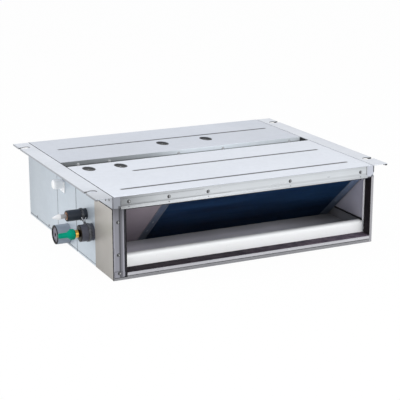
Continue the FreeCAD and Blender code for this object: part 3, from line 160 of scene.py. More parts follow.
def add_object(name, mesh, body, material):
    """Put a finished mesh in the scene on one CAD body, with its finish."""
    mesh.materials.clear()
    mesh.materials.append(material)
    piece = bpy.data.objects.new(name, mesh)
    bpy.context.scene.collection.objects.link(piece)
    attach(piece, body)
    return piece


def merged_copy(node):
    """Copy of a CAD node's mesh with its loose triangles joined and its flat faces made whole."""
    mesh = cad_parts[node].data.copy()
    work = bmesh.new()
    work.from_mesh(mesh)
    bmesh.ops.remove_doubles(work, verts=work.verts, dist=MERGE_REACH)
    bmesh.ops.dissolve_limit(work, angle_limit=FLAT_BEND, verts=work.verts, edges=work.edges)
    bmesh.ops.recalc_face_normals(work, faces=work.faces)
    work.to_mesh(mesh)
    work.free()
    return mesh


def mesh_array(items, field, width, kind=np.float32):
    """One field of all of a mesh's items as an array with a row for each."""
    values = np.zeros(len(items) * width, kind)
    items.foreach_get(field, values)
    return values.reshape(-1, width)


def fold_edges(piece, fold, soft=None, soft_fold=0.0):
    """Round the sharp edges longer than a few folds to a fold, and those that soft picks more."""
    mesh = piece.data
    mesh.polygons.foreach_set("use_smooth", np.ones(len(mesh.polygons), bool))
    mesh.set_sharp_from_angle(angle=SHARP_BEND)
    sharp = mesh_array(mesh.edges, "use_edge_sharp", 1, bool)[:, 0]
    ends = mesh_array(mesh.vertices, "co", 3)[mesh_array(mesh.edges, "vertices", 2, np.int32)]
    length = np.linalg.norm(ends[:, 0] - ends[:, 1], axis=1)
    width = np.where(sharp & (length > SHORTEST_FOLD * fold), fold, 0)
    if soft:
        width = np.where(sharp & soft(ends.mean(1)), soft_fold, width)
    if not width.max():
        return
    weight = mesh.attributes.new("bevel_weight_edge", "FLOAT", "EDGE")
    weight.data.foreach_set("value", (width / width.max()).astype(np.float32))
    edge = piece.modifiers.new("Fold", "BEVEL")
    edge.width = width.max()
    edge.segments = 6 if soft else 2
    edge.limit_method = "WEIGHT"
    edge.use_clamp_overlap = False
    flat = piece.modifiers.new("Flat", "WEIGHTED_NORMAL")
    flat.keep_sharp = True


def rounded_copy(node, material, fold=FOLD, body="casing", second=None, soft=None, soft_fold=0.0):
    """Merged copy of a CAD node with rounded edges, in the node's place.

    second is another material and a test that picks its faces by their middles and normals, and
    soft picks the edges that get the wider soft_fold.
    """
    mesh = merged_copy(node)
    piece = add_object(f"{node}_finished", mesh, body, material)
    if second:
        mesh.materials.append(second[0])
        picked = second[1](mesh_array(mesh.polygons, "center", 3),
                           mesh_array(mesh.polygons, "normal", 3))
        mesh.polygons.foreach_set("material_index", picked.astype(np.int32))
    fold_edges(piece, fold, soft, soft_fold)
    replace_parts(piece, node)
    return piece


def ranged(tree, value, start, end, low, high):
    """Straight ramp of a value: low up to start, high from end on."""
    ramp = tree.nodes.new("ShaderNodeMapRange")
    for socket, number in zip(("From Min", "From Max", "To Min", "To Max"), (start, end, low, high)):
        ramp.inputs[socket].default_value = number
    tree.links.new(value, ramp.inputs["Value"])
    return ramp.outputs[0]


def dimmed(tree, colour, share):
    """Colour times a share."""
    product = tree.nodes.new("ShaderNodeVectorMath")
    product.operation = "SCALE"
    tree.links.new(colour, product.inputs[0])
    tree.links.new(share, product.inputs["Scale"])
    return product.outputs[0]


def noise(tree, place, scale, detail):
    """Soft noise over a place."""
    cloud = tree.nodes.new("ShaderNodeTexNoise")
    cloud.inputs["Scale"].default_value = scale
    cloud.inputs["Detail"].default_value = detail
    tree.links.new(place, cloud.inputs["Vector"])
    return cloud.outputs["Fac"]


def banded(tree, place, axis, stops):
    """Share that changes along one axis in straight lines between stops of a place and a share."""
    split = tree.nodes.new("ShaderNodeSeparateXYZ")
    tree.links.new(place, split.inputs[0])
    low, high = stops[0][0], stops[-1][0]
    ramp = tree.nodes.new("ShaderNodeValToRGB")
    tree.links.new(ranged(tree, split.outputs[axis], low, high, 0, 1), ramp.inputs[0])
    marks = ramp.color_ramp.elements
    while len(marks) < len(stops):
        marks.new(0.5)
    for mark, (distance, share) in zip(marks, stops):
        mark.position = (distance - low) / (high - low)
        mark.color = (share, share, share, 1)
    return ramp.outputs[0]


def finish(name, dark, light, metallic=0.0, rough=(0.4, 0.55), cloud=5, stretch=(1, 1, 1), turn=0.0,
           grain=900, relief=0.0001, crystal=0, specular=0.5, speck=0.0, press=None, bands=()):
    """Two-tone colour mixed by soft noise, roughness that wanders with it, and a fine relief.

    stretch and turn draw the noise out and tilt it about X, crystal adds flat patches of slightly
    different shade, speck scatters small dark marks, press is the share of the colour left
    where the mesh's tone attribute is one, and bands are (axis, stops). Both paint light and shade
    into the colour, and press also darkens the sleeves' cut faces.
    """
    material = bpy.data.materials.new(name)
    material.use_nodes = True
    tree = material.node_tree
    nodes, link = tree.nodes, tree.links.new
    shader = nodes["Principled BSDF"]
    shader.inputs["Metallic"].default_value = metallic
    shader.inputs["Specular IOR Level"].default_value = specular
    place = nodes.new("ShaderNodeTexCoord").outputs["Object"]
    mapping = nodes.new("ShaderNodeMapping")
    mapping.vector_type = "TEXTURE" if turn else "POINT"
    mapping.inputs["Scale"].default_value = stretch
    mapping.inputs["Rotation"].default_value = (turn, 0, 0)
    link(place, mapping.inputs["Vector"])
    drawn = mapping.outputs[0]
    shade = nodes.new("ShaderNodeValToRGB")
    for mark, place_on_ramp, tint in zip(shade.color_ramp.elements, CLOUD_SPAN, (dark, light)):
        mark.position = place_on_ramp
        mark.color = (*tint, 1)
    link(noise(tree, drawn, cloud, 5), shade.inputs[0])
    colour = shade.outputs[0]
    if crystal:
        patches = nodes.new("ShaderNodeTexVoronoi")
        patches.inputs["Scale"].default_value = crystal
        link(place, patches.inputs["Vector"])
        colour = dimmed(tree, colour, ranged(tree, patches.outputs["Color"], 0, 1, CRYSTAL_SHADE, 1))
    if speck:
        marks = ranged(tree, noise(tree, place, SPECK_SIZE, 2), *SPECK_SPAN, 1, 1 - speck)
        colour = dimmed(tree, colour, marks)
    # Painted shade where the tone attribute is one.
    if press is not None:
        tone = nodes.new("ShaderNodeAttribute")
        tone.attribute_name = "tone"
        colour = dimmed(tree, colour, ranged(tree, tone.outputs["Fac"], 0, 1, 1, press))
    # Painted light and shade in bands along the axes.
    for axis, stops in bands:
        colour = dimmed(tree, colour, banded(tree, place, axis, stops))
    link(colour, shader.inputs["Base Color"])
    link(ranged(tree, noise(tree, drawn, 3 * cloud, 3), *CLOUD_SPAN, *rough), shader.inputs["Roughness"])
    if relief:
        bump = nodes.new("ShaderNodeBump")
        bump.inputs["Strength"].default_value = 0.5
        bump.inputs["Distance"].default_value = relief
        link(noise(tree, drawn, grain, 3), bump.inputs["Height"])
        link(bump.outputs[0], shader.inputs["Normal"])
    return material


def zinc_sheet(name, dark, light, metallic=0.3, rough=(0.36, 0.46), crystal=100, relief=0.00004, **more):
    """Finish of galvanised sheet: flat crystals under soft clouds, and a grain too fine to feel."""
    return finish(name, dark, light, metallic=metallic, rough=rough, crystal=crystal, grain=500,
                  relief=relief, **more)


def ring_mesh(name, rings, ends=True, tones=None):
    """Mesh of closed rings, each joined to the next of its stack, for an array of stacks of rings.

    With ends, each stack's first and last ring get a face; without, its last joins its first.
    """
    stacks, count, around = rings.shape[:3]
    index = np.arange(stacks * count * around).reshape(stacks, count, around)
    faces = index[:, [0, -1]].reshape(-1, around).tolist() if ends else []
    if not ends:
        index = np.concatenate([index, index[:, :1]], 1)
    index = np.concatenate([index, index[:, :, :1]], 2)
    corners = [index[:, :-1, :-1], index[:, :-1, 1:], index[:, 1:, 1:], index[:, 1:, :-1]]
    mesh = bpy.data.meshes.new(name)
    walls = np.stack(corners, -1).reshape(-1, 4).tolist()
    mesh.from_pydata(rings.reshape(-1, 3).tolist(), [], walls + faces)
    work = bmesh.new()
    work.from_mesh(mesh)
    bmesh.ops.recalc_face_normals(work, faces=work.faces)
    work.to_mesh(mesh)
    work.free()
    mesh.polygons.foreach_set("use_smooth", np.ones(len(mesh.polygons), bool))
    mesh.set_sharp_from_angle(angle=RING_BEND)
    if tones is not None:
        tones = np.broadcast_to(tones, rings.shape[:3])
        layer = mesh.attributes.new("tone", "FLOAT", "POINT")
        layer.data.foreach_set("value", tones.astype(np.float32).ravel())
    return mesh


def strips(name, material, runs, power=2, wander=0.0, count=24, sides=12):
    """Straight strips, each run a start, an end, a width, a thickness and the width's direction.

    A point of the section stands at half the width times the cosine and half the thickness times
    the sine of its angle, both raised to 2/power, and two sine waves along the run swell it.
    """
    start, end, width, thickness, side = (np.array(part, float) for part in zip(*runs))
    travel = end - start
    length = np.linalg.norm(travel, axis=1)
    side = side / np.linalg.norm(side, axis=1)[:, None]
    up = np.cross(travel / length[:, None], side)
    turn = np.linspace(0, 2 * math.pi, sides, endpoint=False)
    across = np.sign(np.cos(turn)) * np.abs(np.cos(turn)) ** (2 / power) / 2
    along_up = np.sign(np.sin(turn)) * np.abs(np.sin(turn)) ** (2 / power) / 2
    share = np.linspace(0, 1, count)
    wave = length[:, None] * share
    swell = 1 + wander * (np.sin(LONG_WAVE * wave) + np.sin(SHORT_WAVE * wave + 1.3))
    section = (side[:, None] * across[:, None] * width[:, None, None]
               + up[:, None] * along_up[:, None] * thickness[:, None, None])
    middle = start[:, None] + travel[:, None] * share[:, None]
    rings = middle[:, :, None] + swell[:, :, None, None] * section[:, None]
    return add_object(name, ring_mesh(name, rings), "casing", material)


# Painted shade: the side zinc darkens towards the back and, a little, towards the top.
side_zinc = zinc_sheet("side_zinc", (0.50, 0.56, 0.62), (0.60, 0.66, 0.72), metallic=0.45,
                       rough=(0.34, 0.46), crystal=120, cloud=3.5,
                       bands=[("Y", [(-0.305, 1.02), (0.05, 1.0), (0.305, 0.78)]),
                              ("Z", [(0.0, 1.05), (0.17, 0.98)])])
# Painted shade: a near-black finish on the sheets' top edges, for the shadow in the gap under each rail.
gap_shade = finish("gap_shade", (0.035, 0.036, 0.042), (0.07, 0.072, 0.08), metallic=0.4,
                  rough=(0.5, 0.65), cloud=60, grain=700, relief=0.00005)


def top_edges(middle, normal):
    """Upward faces along the top of a side sheet, painted near black as the shade in the gap under the rail.
    """
    return (middle[:, 2] > GAP_SHADE_ABOVE) & (normal[:, 2] > FACING)


for node in ("left_side_panel", "left_service_panel", "left_electrics_panel", "right_side_panel"):
    rounded_copy(node, side_zinc, second=(gap_shade, top_edges))
sealant_and_shade = finish("sealant_and_shade", (0.035, 0.036, 0.042), (0.09, 0.092, 0.10), rough=(0.5, 0.7), cloud=80,
                 grain=700, relief=0.0001)
SEAM_FACE = sheet_face - 0.0002
# Sealant and painted shade: dark strips darken the two seams and the fold along the foot as their gaps'
# shadow would.
strips("side_seams", sealant_and_shade, [
    ((SEAM_FACE, -0.0613, 0.0015), (SEAM_FACE, -0.0613, 0.1718), 0.0012, 0.0008, (0, 1, 0)),
    ((SEAM_FACE, 0.0767, 0.0015), (SEAM_FACE, 0.0767, 0.1718), 0.0005, 0.0005, (0, 1, 0)),
    ((SEAM_FACE, -0.1915, 0.0055), (SEAM_FACE, 0.3055, 0.0055), 0.0010, 0.0008, (0, 0, 1))],
    wander=0.08, count=90)

# Hanging rails: two heavier galvanised angles along the top edges, their outer edge folded back.
# Slots for the hanging rods are punched open to the outside; their cut walls are bare steel painted
# dark with shade that deepens towards the right.

# Painted shade: each rail's upright leg is darker than its shelf.
rail_zinc = zinc_sheet("rail_zinc", (0.61, 0.635, 0.69), (0.70, 0.725, 0.78), rough=(0.3, 0.42),
                       crystal=110, cloud=6,
                       bands=[("Z", [(0.17, 0.86), (0.193, 0.9), (0.1955, 1.0), (0.2, 1.0)])])
# Painted shade: dark grey for the slots' walls and the dabs at the rails' ends, darker towards the right.
slot_shade = finish("slot_shade", (0.15, 0.155, 0.165), (0.22, 0.225, 0.235), metallic=0.3,
                   rough=(0.4, 0.55), cloud=60, grain=700, relief=0.00005,
                   bands=[("X", [(-0.4, 1.0), (0.3, 0.25), (0.4, 0.2)])])
RAIL_INNER = 0.351
RAIL_OUTER = 0.3895
RAIL_END = 0.3
UPRIGHT = 0.3


def rail_cuts(middle, normal):
    """Walls of the rod slots, bare steel painted dark as shade: upright faces of the rail's shelf, but not
    its ends or outer edge.
    """
    reach = np.abs(middle[:, 0])
    slot = (reach > RAIL_INNER) & (reach < RAIL_OUTER) & (np.abs(middle[:, 1]) < RAIL_END)
    return (np.abs(normal[:, 2]) < UPRIGHT) & slot


# Painted shade: the left rail darkens towards its front, and the face of its outer hem is darker.
left_rail_zinc = zinc_sheet("left_rail_zinc", (0.60, 0.63, 0.69), (0.69, 0.72, 0.78),
                            rough=(0.3, 0.42), crystal=110, cloud=6,
                            bands=[("Y", [(-0.312, 0.7), (-0.26, 0.85), (-0.2, 1.0), (0.3, 1.0)]),
                                   ("X", [(-0.39, 0.5), (-0.3894, 0.5), (-0.3888, 1.0), (-0.35, 1.0)])])
for node, zinc in (("left_hanging_rail", left_rail_zinc), ("right_hanging_rail", rail_zinc)):
    rounded_copy(node, zinc, fold=0.0005, second=(slot_shade, rail_cuts))
# Painted shade: dark dabs at the rails' folded ends, for the shadow under each end.
strips("rail_end_shade", slot_shade, [
    ((side * 0.3835, end * 0.3058, 0.1968), (side * 0.3890, end * 0.3058, 0.1968), 0.0036, 0.0012, (0, 0, 1))
    for side in (-1, 1) for end in (-1, 1)], power=3, count=8)

# Top panels: two lids of galvanised sheet with long pressed beads that stiffen them, and dished
# dimples that sink the screw heads below the surface. Painted shade darkens the beads and the
# dimples, and the rear lid is painted darker than the front. Their rims are rolled down a
# millimetre, and a black strip in the gap to each side sheet is painted shade.

LID_GAUGE = 0.001
LID_ROLL = 0.0011
LID_FRONT_REACH = 0.0004
BEAD_HALF = 0.0062
BEAD_DEPTH = 0.0009
BEAD_END = 0.010
DIMPLE_RIM = 0.0170
DIMPLE_FLOOR = 0.0115
DIMPLE_DEPTH = 0.0044
DIMPLE_FALL = 0.0007
DIMPLE_STRETCH = 1.6
COARSE_LINES = 30
RIM_LINES = 4
BEAD_STEP = 0.0005
BEAD_END_STEP = 0.0015
DIMPLE_STEP = 0.001
BEAD_TONE = 1.8
DARKEST_BEAD = 0.92
outlet_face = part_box("outlet_bottom_flange")[0].y
lid_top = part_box("front_top_panel")[1].z


def bead_depth(x, y, start, end, middle):
    """Depth of a bead: a parabola to the power of one and a half across it, times a smooth step at
    each end."""
    ends = np.clip(np.minimum(x - start, end - x) / BEAD_END, 0, 1)
    valley = np.clip(1 - ((y - middle) / BEAD_HALF) ** 2, 0, None) ** 1.5
    return BEAD_DEPTH * ends * ends * (3 - 2 * ends) * valley


def dimple_depth(x, y, centre):
    """Depth of an oval dimple: flat to its floor radius, then a smooth step up to its rim."""
    radius = np.hypot(x - centre[0], (y - centre[1]) / DIMPLE_STRETCH)
    rise = np.clip((radius - DIMPLE_FLOOR) / (DIMPLE_RIM - DIMPLE_FLOOR), 0, 1)
    return DIMPLE_DEPTH * (1 - rise * rise * (3 - 2 * rise))


def rolled_depth(distance):
    """Depth of a rolled rim at a distance from it: a quarter circle."""
    inside = np.clip(LID_ROLL - distance, 0, LID_ROLL)
    return LID_ROLL - np.sqrt(LID_ROLL ** 2 - inside ** 2)


def sheet_lines(low, high, places, reach, fine):
    """Grid lines from low to high: coarse ones, and fine ones near each place and at the rims."""
    rim = LID_ROLL * (1 - np.cos(np.linspace(0, math.pi / 2, RIM_LINES)))
    lines = [np.linspace(low, high, COARSE_LINES), low + rim, high - rim]
    lines += [np.arange(place - reach, place + reach, fine) for place in places]
    return np.unique(np.round(np.clip(np.concatenate(lines), low, high), 5))


def pressed_lid(node, beads, dimples, material, front_reach=0.0):
    """Lid over a CAD panel: its height is the top less the depths of every bead, dimple and rim."""
    low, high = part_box(node)
    low.y -= front_reach
    beads = [(left_end + left, left_end + right, outlet_face + setback) for left, right, setback in beads]
    dimples = [(left_end + x, outlet_face + setback) for x, setback in dimples]
    bead_ends = [end for bead in beads for end in bead[:2]]
    bead_rows = [bead[2] for bead in beads]
    dimple_x, dimple_y = zip(*dimples)
    x = np.union1d(sheet_lines(low.x, high.x, bead_ends, BEAD_END, BEAD_END_STEP),
                   sheet_lines(low.x, high.x, dimple_x, DIMPLE_RIM + DIMPLE_STEP, DIMPLE_STEP))
    y = np.union1d(sheet_lines(low.y, high.y, bead_rows, BEAD_HALF + BEAD_STEP, BEAD_STEP),
                   sheet_lines(low.y, high.y, dimple_y, DIMPLE_RIM * DIMPLE_STRETCH, DIMPLE_STEP))
    grid_x, grid_y = np.meshgrid(x, y)
    bead = sum(bead_depth(grid_x, grid_y, *place) for place in beads)
    dimple = sum(dimple_depth(grid_x, grid_y, centre) for centre in dimples)
    rim = np.minimum(np.minimum(grid_x - low.x, high.x - grid_x),
                     np.minimum(grid_y - low.y, high.y - grid_y))
    height = lid_top - bead - dimple - rolled_depth(rim)
    rows, columns = height.shape
    index = np.arange(rows * columns).reshape(rows, columns)
    quads = np.stack([index[:-1, :-1], index[:-1, 1:], index[1:, 1:], index[1:, :-1]], -1).reshape(-1, 4)
    mesh = bpy.data.meshes.new(f"{node}_pressed")
    mesh.from_pydata(np.stack([grid_x, grid_y, height], -1).reshape(-1, 3).tolist(), [], quads.tolist())
    mesh.polygons.foreach_set("use_smooth", np.ones(len(quads), bool))
    layer = mesh.attributes.new("tone", "FLOAT", "POINT")
    # Painted shade: the tone darkens the beads and, most, the dimples.
    tone = np.clip(BEAD_TONE * bead / BEAD_DEPTH, 0, DARKEST_BEAD) + np.clip(dimple / DIMPLE_FALL - 1, 0, 1)
    layer.data.foreach_set("value", tone.astype(np.float32).ravel())
    piece = add_object(f"{node}_pressed", mesh, "casing", material)
    wall = piece.modifiers.new("Gauge", "SOLIDIFY")
    wall.thickness = LID_GAUGE
    wall.offset = -1
    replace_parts(piece, node)
    return piece


front_lid_zinc = zinc_sheet("front_lid_zinc", (0.67, 0.70, 0.765), (0.73, 0.76, 0.825), press=0.05,
                            specular=0.2, cloud=2.5, relief=0.00003)
# Painted shade: the rear lid's finish is a darker copy of the front lid's.
rear_lid_zinc = zinc_sheet("rear_lid_zinc", (0.55, 0.58, 0.645), (0.61, 0.64, 0.71), press=0.05,
                           specular=0.2, cloud=2.5, relief=0.00003)
pressed_lid("front_top_panel", [(0.040, 0.661, 0.058), (0.133, 0.664, 0.208)],
            [(0.048, 0.275), (0.131, 0.272)], front_lid_zinc, LID_FRONT_REACH)
pressed_lid("rear_top_panel", [(0.042, 0.667, 0.498)], [(0.325, 0.453), (0.4545, 0.4545)], rear_lid_zinc)
gasket_foam_and_shade = finish("gasket_foam_and_shade", (0.012, 0.012, 0.015), (0.03, 0.03, 0.034), rough=(0.8, 0.95),
                     specular=0.2, cloud=60, grain=700, relief=0.0003)
# Painted shade: black strips in the gaps between the lids and the rails.
strips("lid_gap_shade", gasket_foam_and_shade, [
    ((x, outlet_face + 0.0025, height), (x, 0.3065, height), width, 0.0086, (1, 0, 0))
    for x, width, height in ((-0.3462, 0.0034, 0.1954), (0.3465, 0.0006, 0.1945))],
    power=6, wander=0.02, count=160)

# Channel: a folded strip of galvanised sheet, sunk between the lids and screwed through its walls.
# Its rear wall carries a painted reflection: near white on the right, darkening towards the left,
# with a dark band along its foot for the floor it would mirror. A thin foam seal closes each end.

# Painted reflection: near-white zinc that darkens towards the left and at the foot of the wall.
channel_zinc = zinc_sheet("channel_zinc", (0.86, 0.92, 0.98), (0.93, 0.97, 1.0), metallic=0.0,
                          rough=(0.25, 0.4), cloud=4, stretch=(0.3, 1, 2),
                          bands=[("X", [(-0.346, 0.27), (-0.2, 0.38), (-0.1, 0.55), (0.0, 1.0),
                                        (0.12, 1.0), (0.25, 0.85), (0.346, 0.8)]),
                                 ("Z", [(0.184, 0.3), (0.1892, 0.35), (0.1905, 1.0), (0.2, 1.0)])])
rounded_copy("top_channel", channel_zinc)
strips("channel_end_seals", gasket_foam_and_shade, [
    ((side * 0.3454, 0.006, 0.1915), (side * 0.3454, 0.052, 0.1915), 0.0006, 0.0125, (1, 0, 0))
    for side in (-1, 1)], power=6, wander=0.02, count=30)

# Bottom panels: two flat covers of galvanised sheet, stiffened by pressed beads, that close the
# underside between the folded feet of the side sheets.

bottom_zinc = zinc_sheet("bottom_zinc", (0.50, 0.53, 0.57), (0.60, 0.63, 0.67), metallic=0.45,
                         rough=(0.35, 0.5), cloud=3)
for node in ("front_bottom_panel", "rear_bottom_panel"):
    rounded_copy(node, bottom_zinc)

# Outlet frame: folded galvanised strips round the opening, brushed along their length by the
# folding tool, with small end plates at the corners. Bands of painted shade and painted reflection
# run across the strips and plates, and dark lines of painted shade lie along the folds and edges.


def folded_zinc(name, dark, light, stretch=(3, 1, 0.4), bands=()):
    """Finish of the outlet's strips: zinc with streaks drawn out along the strip by its stretch."""
    return finish(name, dark, light, metallic=0.35, rough=(0.26, 0.4), cloud=8, stretch=stretch,
                  grain=300, relief=0.00004, bands=bands)


ALONG_X = (0.4, 1, 3)
# Painted shade: the top flange darkens towards its left end, with darker bands along its lip and folds.
flange_zinc = folded_zinc("flange_zinc", (0.54, 0.565, 0.59), (0.61, 0.635, 0.66), ALONG_X, [
    ("X", [(-0.33, 0.3), (-0.285, 0.52), (-0.232, 0.7), (-0.1, 0.86), (0.1, 0.9), (0.25, 1.0),
           (0.342, 0.85)]),
    ("Z", [(0.17, 0.9), (0.1718, 0.74), (0.174, 0.74), (0.1752, 0.9), (0.178, 0.8),
           (0.181, 0.85), (0.183, 1.0), (0.1935, 1.0), (0.1945, 0.9), (0.199, 0.95)])])
rounded_copy("outlet_top_flange", flange_zinc)
# Painted light: the right corner is twice as light as the left.
corner_zinc = folded_zinc("corner_zinc", (0.20, 0.21, 0.24), (0.26, 0.27, 0.30), bands=[
    ("X", [(-0.35, 1.0), (-0.3, 1.0), (0.3, 2.0), (0.35, 2.0)])])
rounded_copy("outlet_corners", corner_zinc)
# Painted shade: the sill darkens below its groove and along its hemmed foot.
sill_zinc = folded_zinc("sill_zinc", (0.44, 0.44, 0.47), (0.54, 0.54, 0.57), ALONG_X, [
    ("Z", [(0.0, 0.5), (0.003, 0.5), (0.0038, 0.45), (0.0072, 0.45), (0.0076, 0.4),
           (0.0095, 0.4), (0.0105, 1.0), (0.015, 0.95), (0.0172, 0.75)])])
rounded_copy("outlet_bottom_flange", sill_zinc)
end_zinc = folded_zinc("end_zinc", (0.31, 0.305, 0.325), (0.37, 0.365, 0.385))
rounded_copy("outlet_right_flange", end_zinc)
# Painted reflections and shade: light and dark stripes across the left post and corner plate, darker towards
# the top under the flange.
post_zinc = folded_zinc("post_zinc", (0.23, 0.23, 0.265), (0.30, 0.30, 0.34), bands=[
    ("X", [(-0.35, 0.5), (-0.3492, 0.6), (-0.3484, 1.25), (-0.3465, 1.25), (-0.345, 1.0),
           (-0.3375, 1.0), (-0.3355, 0.85), (-0.3345, 0.32), (-0.3315, 0.32), (-0.3303, 0.68),
           (-0.3275, 0.68), (-0.3255, 1.0), (-0.324, 1.35), (-0.3215, 1.35), (-0.3205, 0.5), (-0.316, 0.4)]),
    ("Z", [(0.0, 0.9), (0.09, 0.82), (0.14, 0.72), (0.17, 0.38)])])
for node in ("outlet_left_flange", "outlet_corner_plate"):
    rounded_copy(node, post_zinc)
FACE_LINE = outlet_face - 0.0001
PLATE_LINE = outlet_face - 0.0011
SILL_LINE = outlet_face + 0.0012
# Painted shade: dark lines along the top flange's crease and edges, round its left end, by both posts, in the
# sill's groove and round the corner plate.
strips("outlet_shade_lines", sealant_and_shade, [
    ((left, line, low), (right, line, high), width, thickness, side)
    for left, right, low, high, line, width, thickness, side in (
        (-0.3288, -0.3288, 0.1745, 0.1895, FACE_LINE, 0.0007, 0.0004, (1, 0, 0)),
        (-0.3288, -0.3255, 0.1895, 0.1935, FACE_LINE, 0.0006, 0.0004, (1, 0, 1)),
        (-0.3255, -0.1200, 0.1937, 0.1937, FACE_LINE, 0.0005, 0.0003, (0, 0, 1)),
        (-0.3280, -0.0500, 0.1787, 0.1787, FACE_LINE, 0.0006, 0.0003, (0, 0, 1)),
        (-0.3485, -0.3485, 0.1724, 0.1985, FACE_LINE, 0.0016, 0.0004, (1, 0, 0)),
        (-0.3480, -0.3280, 0.1722, 0.1722, FACE_LINE, 0.0010, 0.0004, (0, 0, 1)),
        (-0.3355, -0.3270, 0.1752, 0.1752, FACE_LINE, 0.0050, 0.0006, (0, 0, 1)),
        (0.3275, 0.3275, 0.1728, 0.1985, FACE_LINE, 0.0012, 0.0005, (1, 0, 0)),
        (0.3484, 0.3484, 0.1830, 0.1985, FACE_LINE, 0.0026, 0.0005, (1, 0, 0)),
        (-0.3145, 0.3425, 0.0085, 0.0085, SILL_LINE, 0.0016, 0.0009, (0, 0, 1)),
        (-0.3472, -0.3472, 0.0078, 0.0226, PLATE_LINE, 0.0007, 0.0004, (1, 0, 0)),
        (-0.3284, -0.3284, 0.0078, 0.0226, PLATE_LINE, 0.0007, 0.0004, (1, 0, 0)),
        (-0.3472, -0.3284, 0.0226, 0.0226, PLATE_LINE, 0.0008, 0.0004, (0, 0, 1)),
        (-0.3472, -0.3284, 0.0077, 0.0077, PLATE_LINE, 0.0010, 0.0004, (0, 0, 1)))],
    wander=0.06, count=60, sides=8)

# Foam lining: strips of black closed-cell foam stuck to the inside of the opening, and a softer
# strip pressed over the left fold and under the top one, its edges cut by hand.

# Painted light: the foam lining lightens near the bottom and towards its right edge.
black_foam = finish("black_foam", (0.005, 0.004, 0.006), (0.013, 0.010, 0.013), rough=(0.8, 0.95),
                    specular=0.2, cloud=40, grain=700, relief=0.0004,
                    bands=[("Z", [(0.017, 4.2), (0.0192, 3.4), (0.0215, 0.8), (0.17, 0.8)]),
                           ("X", [(-0.316, 0.5), (0.0, 1.2), (0.34, 3.2), (0.3408, 0.6), (0.343, 0.5)])])
rounded_copy("outlet_foam_lining", black_foam, fold=0.0004)
LEFT_STRIP = outlet_face + 0.0037
TOP_STRIP = outlet_face + 0.0032
# The softer strips are foam with painted shade: they also widen the dark under the top lip and beside the
# left fold.
strips("outlet_foam_edges", gasket_foam_and_shade, [
    ((-0.3186, LEFT_STRIP, 0.0195), (-0.3186, LEFT_STRIP, 0.1695), 0.0050, 0.0010, (1, 0.5, 0)),
    ((-0.3155, TOP_STRIP, 0.1681), (0.3405, TOP_STRIP, 0.1681), 0.0024, 0.0016, (0, 0, 1))],
    power=5, wander=0.03, count=160, sides=16)

# Front cover plates: thin sheet plates with a warmer coat over the front of both ends, painted
# darker towards the bottom as shade, with black strips of painted shade along the gaps at their
# top and front edges.

# Painted shade: the plates' coat darkens towards the bottom.
warm_plate = finish("warm_plate", (0.44, 0.415, 0.385), (0.50, 0.475, 0.44), metallic=0.3,
                    rough=(0.34, 0.46), cloud=4, grain=500, relief=0.00003,
                    bands=[("Z", [(0.0, 0.66), (0.09, 0.8), (0.172, 1.0)])])
for node in ("left_front_cover", "right_front_cover"):
    rounded_copy(node, warm_plate)
# Painted shade: black strips for the gaps along the plates' top and front edges.
strips("cover_gap_shade", gasket_foam_and_shade, [
    ((-0.3499, -0.3065, 0.1717), (-0.3499, -0.1925, 0.1717), 0.0026, 0.0022, (1, 0, 0)),
    ((-0.3499, -0.3068, 0.0012), (-0.3499, -0.3068, 0.1717), 0.0022, 0.0018, (1, 0, 0)),
    ((0.3499, -0.3065, 0.1717), (0.3499, -0.1925, 0.1717), 0.0024, 0.0020, (1, 0, 0))],
    wander=0.06, count=90)

# Inner insulation: foam slabs glued to the sides and under the lid. A bright angle of sheet holds
# the front end of the right slab, and a black strip seals its foot on the drain pan.

# Painted shade: the slabs darken towards the back.
inner_foam = finish("inner_foam", (0.58, 0.555, 0.65), (0.70, 0.675, 0.77), rough=(0.6, 0.75),
                    cloud=12, grain=500, relief=0.0004,
                    bands=[("Y", [(-0.28, 1.0), (-0.2, 0.75), (-0.12, 0.6)])])
rounded_copy("inner_insulation", inner_foam, fold=0.0008)
angle_zinc = finish("angle_zinc", (0.58, 0.575, 0.61), (0.68, 0.675, 0.71), metallic=0.3,
                    rough=(0.26, 0.4), cloud=8, stretch=(3, 1, 0.4), grain=300, relief=0.00004)
strips("slab_angle", angle_zinc, [
    ((0.3400, -0.2810, 0.0505), (0.3400, -0.2810, 0.1690), 0.0055, 0.0012, (1, -0.15, 0))],
    power=6, count=20)
strips("pan_seals", gasket_foam_and_shade, [
    ((side * 0.3412, -0.2735, 0.0518), (side * 0.3412, -0.1300, 0.0518), 0.0038, 0.0040, (1, 0, 0))
    for side in (-1, 1)], power=3, wander=0.05, count=90)

# Drain pan: a moulded tray of white expanded foam with a skinned surface and a soft rim, its inside
# lined with a sheet of grey plastic. Painted shade darkens the liner under the coil, towards the
# back and to the right, and the foam over the top of the rim.

# Painted shade: the foam darkens over the top of the rim.
pan_foam = finish("pan_foam", (0.90, 0.905, 0.91), (0.94, 0.945, 0.95), rough=(0.45, 0.6), cloud=8,
                  grain=260, relief=0.00025, speck=0.04,
                  bands=[("Z", [(0.040, 1.0), (0.0455, 0.95), (0.0495, 0.7), (0.0515, 0.5)])])
# Painted shade: the liner darkens towards the back and to the right.
pan_liner = finish("pan_liner", (0.80, 0.79, 0.86), (0.88, 0.87, 0.94), rough=(0.35, 0.5), cloud=10,
                   grain=260, relief=0.0001,
                   bands=[("Y", [(-0.22, 1.2), (-0.165, 1.1), (-0.14, 0.75), (-0.115, 0.55), (-0.02, 0.3)]),
                         ("X", [(-0.3, 0.85), (-0.1, 1.0), (0.15, 1.0), (0.3, 0.35), (0.342, 0.28)])])
PAN_SIDES = 0.3462
PAN_WALLS_END = 0.02
PAN_FRONT_WALL = -0.25
PAN_FLOOR_TOP = 0.045
PAN_LIP = 0.049
LIP_REACH = 0.001
pan_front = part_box("drain_pan")[0].y


